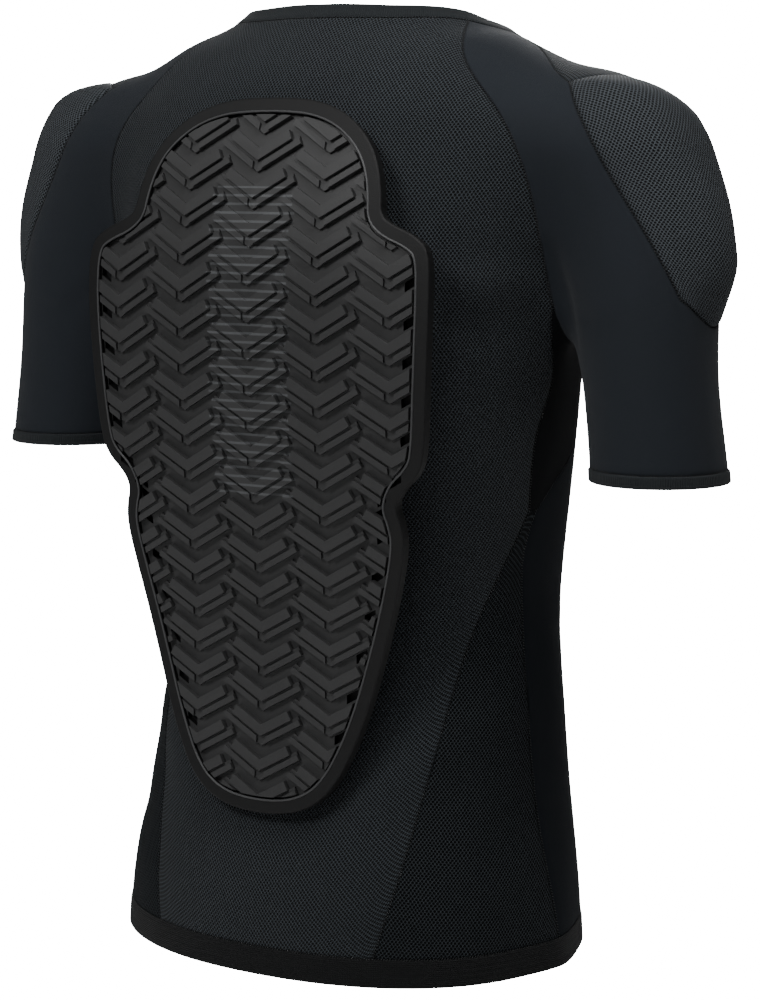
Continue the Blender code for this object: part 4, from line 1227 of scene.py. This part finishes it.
def cloth_material(name, deep, lit, pattern, values, bump, roughness, seam_shade, own):
    """Knit cloth: a pattern group gives height and a painted shade of that relief, and unevenness varies
    colour and roughness.
    """
    material, tree, shader = new_material(name, **own)
    cut = add(tree, "ShaderNodeUVMap", uv_map="cut").outputs[0]
    place = add(tree, "ShaderNodeTexCoord").outputs["Object"]
    uneven = use_group(tree, "uneven", {"Place": place})
    knit = use_group(tree, pattern, {"Place": cut, **values})
    slow, quick = uneven.outputs["Slow"], uneven.outputs["Quick"]
    height = knit.outputs["Height"]
    if pattern == "mesh_holes":
        yarn = use_group(tree, "knit_rows", {"Place": cut, **YARN_ROWS})
        # Mesh cells are painted lighter away from their holes: painted light on the cells, shade towards the
        # holes.
        shade = maths(tree, "MULTIPLY", height, yarn.outputs["Shade"])
    else:
        shade = knit.outputs["Shade"]
    shade = maths(tree, "MULTIPLY", shade, 0.7)
    shade = maths(tree, "ADD", shade, maths(tree, "MULTIPLY", slow, 0.35), clamp=True)
    # Colour runs from the deep to the lit colour: painted shade of the knit's relief, plus tone that differs
    # at random.
    colour = blend_colours(tree, shade, deep, lit)
    if pattern == "mesh_holes":
        # The holes are painted near black: painted shade of the dark inside seen through them.
        painted_hole_shade = tuple(HOLE_SHADE * value for value in deep)
        colour = blend_colours(tree, knit.outputs["Hole"], colour, painted_hole_shade)
        height = maths(tree, "SUBTRACT", height, knit.outputs["Hole"])
    if seam_shade:
        reach = add(tree, "ShaderNodeAttribute", attribute_name="to_seam").outputs["Fac"]
        edge = use_group(tree, "seam_edge", {"Distance": reach, "Place": place})
        # Cloth right beside a seam is painted darker: painted shade in the seam's dip.
        dark = tuple(SEAM_SHADE * value for value in deep)
        colour = blend_colours(tree, maths(tree, "MULTIPLY", edge.outputs["Line"], 0.8), colour, dark)
        height = maths(tree, "ADD", height, maths(tree, "MULTIPLY", edge.outputs["Pucker"], 1.6))
    height = maths(tree, "ADD", height, maths(tree, "MULTIPLY", quick, 0.25))
    finish_surface(tree, shader, colour, quick, roughness, height, bump)
    return material


def within(tree, value, middle, half):
    """1 where a value lies less than half away from its middle."""
    off = maths(tree, "ABSOLUTE", maths(tree, "SUBTRACT", value, middle))
    return maths(tree, "LESS_THAN", off, half)


def print_stripes(tree, place, quick, colour):
    """Thin straight stripes printed over a colour, down the middle of the protector."""
    part = add(tree, "ShaderNodeSeparateXYZ", {0: place})
    across, up = part.outputs["X"], part.outputs["Z"]
    beside = maths(tree, "FRACT", maths(tree, "ADD", maths(tree, "DIVIDE", up, STRIPE_STEP), 0.5))
    line = within(tree, beside, 0.5, STRIPE_SHARE)
    inside = within(tree, across, 0.0, STRIPE_HALF_WIDTH)
    tall = within(tree, up, (STRIPE_TOP + STRIPE_BOTTOM) / 2, (STRIPE_TOP - STRIPE_BOTTOM) / 2)
    stripe = maths(tree, "MULTIPLY", line, maths(tree, "MULTIPLY", inside, tall))
    wear = maths(tree, "ADD", maths(tree, "MULTIPLY", quick, 0.5), 0.45)
    return blend_colours(tree, maths(tree, "MULTIPLY", stripe, wear), colour, STRIPE_COLOUR)


def foam_material(name, deep, lit, roughness, striped):
    """Moulded foam skin with a fine grain."""
    material, tree, shader = new_material(name, specular_ior_level=0.3)
    place = add(tree, "ShaderNodeTexCoord").outputs["Object"]
    uneven = use_group(tree, "uneven", {"Place": place, "Slow": 14.0, "Quick": 1400.0})
    slow, quick = uneven.outputs["Slow"], uneven.outputs["Quick"]
    shade = maths(tree, "MULTIPLY", slow, 0.7)
    shade = maths(tree, "ADD", shade, maths(tree, "MULTIPLY", quick, 0.5), clamp=True)
    colour = blend_colours(tree, shade, deep, lit)
    if striped:
        colour = print_stripes(tree, place, quick, colour)
    finish_surface(tree, shader, colour, quick, roughness, quick, FOAM_GRAIN)
    return material


def thread_material():
    material, tree, shader = new_material("thread", sheen_weight=0.3)
    place = add(tree, "ShaderNodeTexCoord").outputs["Object"]
    uneven = use_group(tree, "uneven", {"Place": place, "Slow": 60.0, "Quick": 2500.0})
    quick = uneven.outputs["Quick"]
    colour = blend_colours(tree, quick, (0.003, 0.004, 0.005), (0.010, 0.012, 0.014))
    finish_surface(tree, shader, colour, uneven.outputs["Slow"], (0.55, 0.8), quick, 0.00005)
    return material


def floor_material():
    material, tree, shader = new_material("pale_floor")
    place = add(tree, "ShaderNodeTexCoord").outputs["Object"]
    uneven = use_group(tree, "uneven", {"Place": place, "Slow": 0.8, "Quick": 60.0})
    colour = blend_colours(tree, uneven.outputs["Slow"], (0.86, 0.86, 0.86), (0.90, 0.90, 0.90))
    finish_surface(tree, shader, colour, uneven.outputs["Quick"], (0.8, 0.95))
    shader.inputs["Emission Color"].default_value = (1.0, 1.0, 1.0, 1.0)
    seen = add(tree, "ShaderNodeLightPath").outputs["Is Camera Ray"]
    tree.links.new(maths(tree, "MULTIPLY", seen, WHITE), shader.inputs["Emission Strength"])
    return material


def build_materials():
    """Every material of the shirt, by name, and the floor's."""
    made = {name: cloth_material(name, *row) for name, row in CLOTHS.items()}
    made.update({name: foam_material(name, *row) for name, row in FOAMS.items()})
    return {**made, "thread": thread_material(), "floor": floor_material()}


# The shirt.
def build_edges():
    edges = {name: Edge.of(line, JOINTS.get(name, ())) for name, line in make_seams().items()}
    for name in ("neck_back", "neck_front", "hem_back", "hem_front"):
        edges[name].fine[0, 0] = 0.0
    return edges


def build_cloth(e, materials):
    """Every sewn panel, by node name."""
    smooth, mesh, pad = materials["smooth_knit"], materials["mesh_knit"], materials["pad_mesh_painted_light"]
    made = {}
    side = e["raglan_back"] + e["gusset_back"] + e["side_back"]
    back = panel(e["neck_back"].both_halves(), e["hem_back"].both_halves(), side.mirrored(), side)
    made["back_panel"] = wall("back_panel_cloth", Cloth(back), MESH_KNIT, mesh)

    side = e["raglan_front_high"] + e["raglan_front_low"] + e["gusset_front"] + e["side_front"]
    front = panel(e["neck_front"].both_halves(), e["hem_front"].both_halves(), side.mirrored(), side)
    # The front panel takes the darker knit copy, painted shade.
    made["front_panel"] = wall("front_panel_cloth", Cloth(front), KNIT, materials["front_knit_painted_shade"])

    flank = panel(e["gusset_tip"], e["hem_side"], e["side_back"], e["side_front"])
    # The side panels take the darker mesh copy, painted shade.
    flanks = wall_pair("side_panel_cloth", Cloth(flank), MESH_KNIT, materials["flank_mesh_painted_shade"])

    gusset = panel(e["underarm"], e["gusset_tip"], e["gusset_back"], e["gusset_front"])
    # The gussets take the near-black knit, partly painted shade.
    gussets = wall_pair("gusset_cloth", Cloth(gusset), KNIT, materials["dark_knit_and_shade"])

    cap = panel(e["cap_top"], e["cap_end"], e["cap_back"], e["cap_front"])
    # The shoulder caps take the lighter mesh copy, painted light.
    caps = wall_pair("shoulder_cap_pad", Cloth(cap), PAD_BACKING, pad, raised=pad_profile)

    lower = e["raglan_front_high"] + e["shoulder_low"].turned()
    yoke = panel(e["neck_side"], e["cap_top"], e["ridge"], lower)
    yokes = wall_pair("shoulder_front_cloth", Cloth(yoke), MESH_KNIT, mesh)

    strip = panel(e["neck_strip"], e["sleeve_back"], e["raglan_back"], e["ridge"] + e["cap_back"])
    front_strip = panel(e["shoulder_low"], e["sleeve_front"], e["cap_front"], e["raglan_front_low"])
    tube = sleeve_tube([e["sleeve_back"], e["cap_end"], e["sleeve_front"], e["underarm"].turned()])
    sleeves = wall_pair("sleeve_cloth", Cloth(strip, front_strip, tube), KNIT, smooth)

    pairs = {"side_panel": flanks, "gusset": gussets, "shoulder_cap": caps, "shoulder_front": yokes,
             "sleeve": sleeves}
    for name, (left, right) in pairs.items():
        made[name + "_left"], made[name + "_right"] = left, right
    return made, tube[-1, :-1]


def whole_ring(half):
    """A line from the middle of the back to the middle of the front, closed over the other half."""
    return np.concatenate([half, half[-2:0:-1] * (-1, 1, 1)])


def neck_ring(e):
    return whole_ring((e["neck_back"] + e["neck_strip"] + e["neck_side"] + e["neck_front"].turned()).fine)


def hem_ring(e):
    return whole_ring((e["hem_back"] + e["hem_side"] + e["hem_front"].turned()).fine)


def build_bands(e, cuff_seam, materials):
    up, down = np.array([0, 0, 1.0]), np.array([0, 0, -1.0])
    ribbed, elastic = materials["band_knit"], materials["hem_elastic"]
    cuff = folded_profile(CUFF_HEIGHT, proud=CUFF_PROUD)
    hem = folded_profile(HEM_HEIGHT, HEM_RIBS, HEM_RIB_HEIGHT)
    return {
        "collar": band("collar_band", neck_ring(e), up, folded_profile(COLLAR_HEIGHT), ribbed),
        "hem_band": band("hem_band_elastic", hem_ring(e), down, hem, elastic),
        "cuff_left": band("cuff_band_left", cuff_seam, down, cuff, ribbed),
        "cuff_right": band("cuff_band_right", cuff_seam * (-1, 1, 1), down, cuff, ribbed),
    }


def build_protector(materials):
    """Plate with its rim and vents, tread blocks in two levels, and the bead inside the rim."""
    plate = prism_object("protector_plate", [rounded_loop()], 0.0, PROTECTOR_BASE + PROTECTOR_RIM_HEIGHT)
    round_edges(plate, RIM_ROUND, 3)
    inside = [rounded_loop(PROTECTOR_RIM_WIDTH)]
    cut_away(plate, prism_object("floor_cutter", inside, PROTECTOR_BASE, CUTTER_REACH))
    vents = list(vent_loops())
    cut_away(plate, prism_object("vent_cutter", vents, PROTECTOR_BASE - VENT_DEPTH, CUTTER_REACH))
    plate.data.materials.clear()
    plate.data.materials.append(materials["foam_rim_painted_shade"])
    plate.data.materials.append(materials["foam_tread"])
    # Faces off the floor level, the rim, the sides and the vent walls, take the darker foam, painted shade.
    for face in plate.data.polygons:
        face.material_index = int(abs(face.center.z - PROTECTOR_BASE) < 1e-5)
    bend_onto_back(plate)

    inside = [rounded_loop(PROTECTOR_RIM_WIDTH + TREAD_UNDER_RIM)]
    field = prism_object("tread_field", inside, -CUTTER_REACH / 2, CUTTER_REACH * 1.5)
    marks = bpy.data.meshes.new("tread_marks")
    marks.from_pydata([(x, z, 0.0) for x, z in tread_places()], [], [])
    tread = tread_tree()
    levels = {
        "tread_ledges": (TREAD_LEDGE, [chevron_loop(0.0, TREAD_STEP + TREAD_LEDGE_LAP, TREAD_REACH)]),
        "tread_strips": (TREAD_STRIP, [chevron_loop(TREAD_STEP, TREAD_BAND, TREAD_STRIP_REACH)]),
        "tread_bars": (TREAD_BAR, [arm_loop(-1), arm_loop(1)]),
    }
    parts = [plate]
    for name, (level, loops) in levels.items():
        block = prism_object("block", loops, PROTECTOR_BASE - TREAD_SINK, PROTECTOR_BASE + level)
        blocks = put(name, marks.copy())
        run_tree(blocks, tread, {"Block": block, "Field": field, "Material": materials["foam_tread"]})
        round_edges(blocks, TREAD_ROUND)
        bend_onto_back(blocks, 0.3)
        drop(block)
        parts.append(blocks)
    drop(field)

    inner = rounded_loop(PROTECTOR_RIM_WIDTH - BEAD_LAP)
    flat = np.column_stack([inner, np.full(len(inner), PROTECTOR_BASE + PROTECTOR_RIM_HEIGHT)])
    bead = bpy.data.meshes.new("protector_bead")
    bead.from_pydata(on_back(flat).tolist(), [(i, (i + 1) % len(flat)) for i in range(len(flat))], [])
    bead = put("protector_bead", bead)
    # The bead takes the lighter foam, painted highlight.
    run_tree(bead, cord_edge_tree(), {"Radius": BEAD_RADIUS, "Material": materials["foam_bead_painted_highlight"]})
    bead.data.shade_smooth()
    return parts, bead


def join(name, parts):
    """Join finished pieces into one object."""
    shape = bmesh.new()
    slots = []
    for part in parts:
        first = len(shape.faces)
        shape.from_mesh(part.data)
        shape.faces.ensure_lookup_table()
        own = list(part.data.materials)
        for material in own:
            if material not in slots:
                slots.append(material)
        for face in shape.faces[first:]:
            face.material_index = slots.index(own[min(face.material_index, len(own) - 1)])
    mesh = bpy.data.meshes.new(name)
    shape.to_mesh(mesh)
    shape.free()
    for material in slots:
        mesh.materials.append(material)
    drop(*parts)
    return put(name, mesh)


def build_stitches(e, cuff_seam, materials):
    """Thread along every seam, and round the collar, the cuffs and the hem."""
    lines = [e[name].fine for name in SEWN]
    lines += [line * (-1, 1, 1) for line in lines]
    rings = [neck_ring(e), hem_ring(e), cuff_seam, cuff_seam * (-1, 1, 1)]
    tree = stitch_tree()
    sewn = [line_object("seam_stitches", lines), line_object("band_stitches", rings, closed=True)]
    return [run_tree(piece, tree, {**STITCH, "Material": materials["thread"]}) for piece in sewn]


# The studio.
def build_studio(materials):
    ahead = Vector((math.sin(CAMERA_TURN) * math.cos(CAMERA_FALL),
                    -math.cos(CAMERA_TURN) * math.cos(CAMERA_FALL), -math.sin(CAMERA_FALL)))
    camera = put("camera", bpy.data.cameras.new("camera"))
    camera.data.lens = CAMERA_LENS
    camera.data.sensor_width = 36.0
    camera.location = CAMERA_PLACE
    camera.rotation_euler = ahead.to_track_quat("-Z", "Y").to_euler()
    bpy.context.scene.camera = camera

    shape = bmesh.new()
    bmesh.ops.create_grid(shape, x_segments=8, y_segments=8, size=14.0)
    for vertex in shape.verts:
        vertex.co.z = FLOOR_Z
    floor = shape_object("floor", shape)
    floor.data.materials.append(materials["floor"])

    world = bpy.data.worlds.new("studio")
    world.use_nodes = True
    tree = world.node_tree
    backdrop = tree.nodes["Background"]
    backdrop.inputs["Color"].default_value = (1.0, 1.0, 1.0, 1.0)
    seen = add(tree, "ShaderNodeLightPath").outputs["Is Camera Ray"]
    strength = maths(tree, "ADD", maths(tree, "MULTIPLY", seen, WHITE - ROOM_LIGHT), ROOM_LIGHT)
    tree.links.new(strength, backdrop.inputs["Strength"])
    bpy.context.scene.world = world
    for name, place, size, power in LIGHTS:
        lamp = bpy.data.lights.new(name, "AREA")
        lamp.shape = "DISK"
        lamp.size = size
        lamp.energy = power
        made = put(name, lamp)
        made.location = place
        made.rotation_euler = (Vector(LIT_PLACE) - Vector(place)).to_track_quat("-Z", "Y").to_euler()


def main():
    build_groups()
    materials = build_materials()
    edges = build_edges()
    cloth, cuff_seam = build_cloth(edges, materials)
    bands = build_bands(edges, cuff_seam, materials)
    parts, bead = build_protector(materials)
    protector = join("back_protector_plate", parts)
    stitches = build_stitches(edges, cuff_seam, materials)
    build_studio(materials)

    for node, piece in {**cloth, **bands, "back_protector": protector}.items():
        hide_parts(node)
        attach(piece, "root")
    for piece in [bead, *stitches]:
        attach(piece, "root")


main()
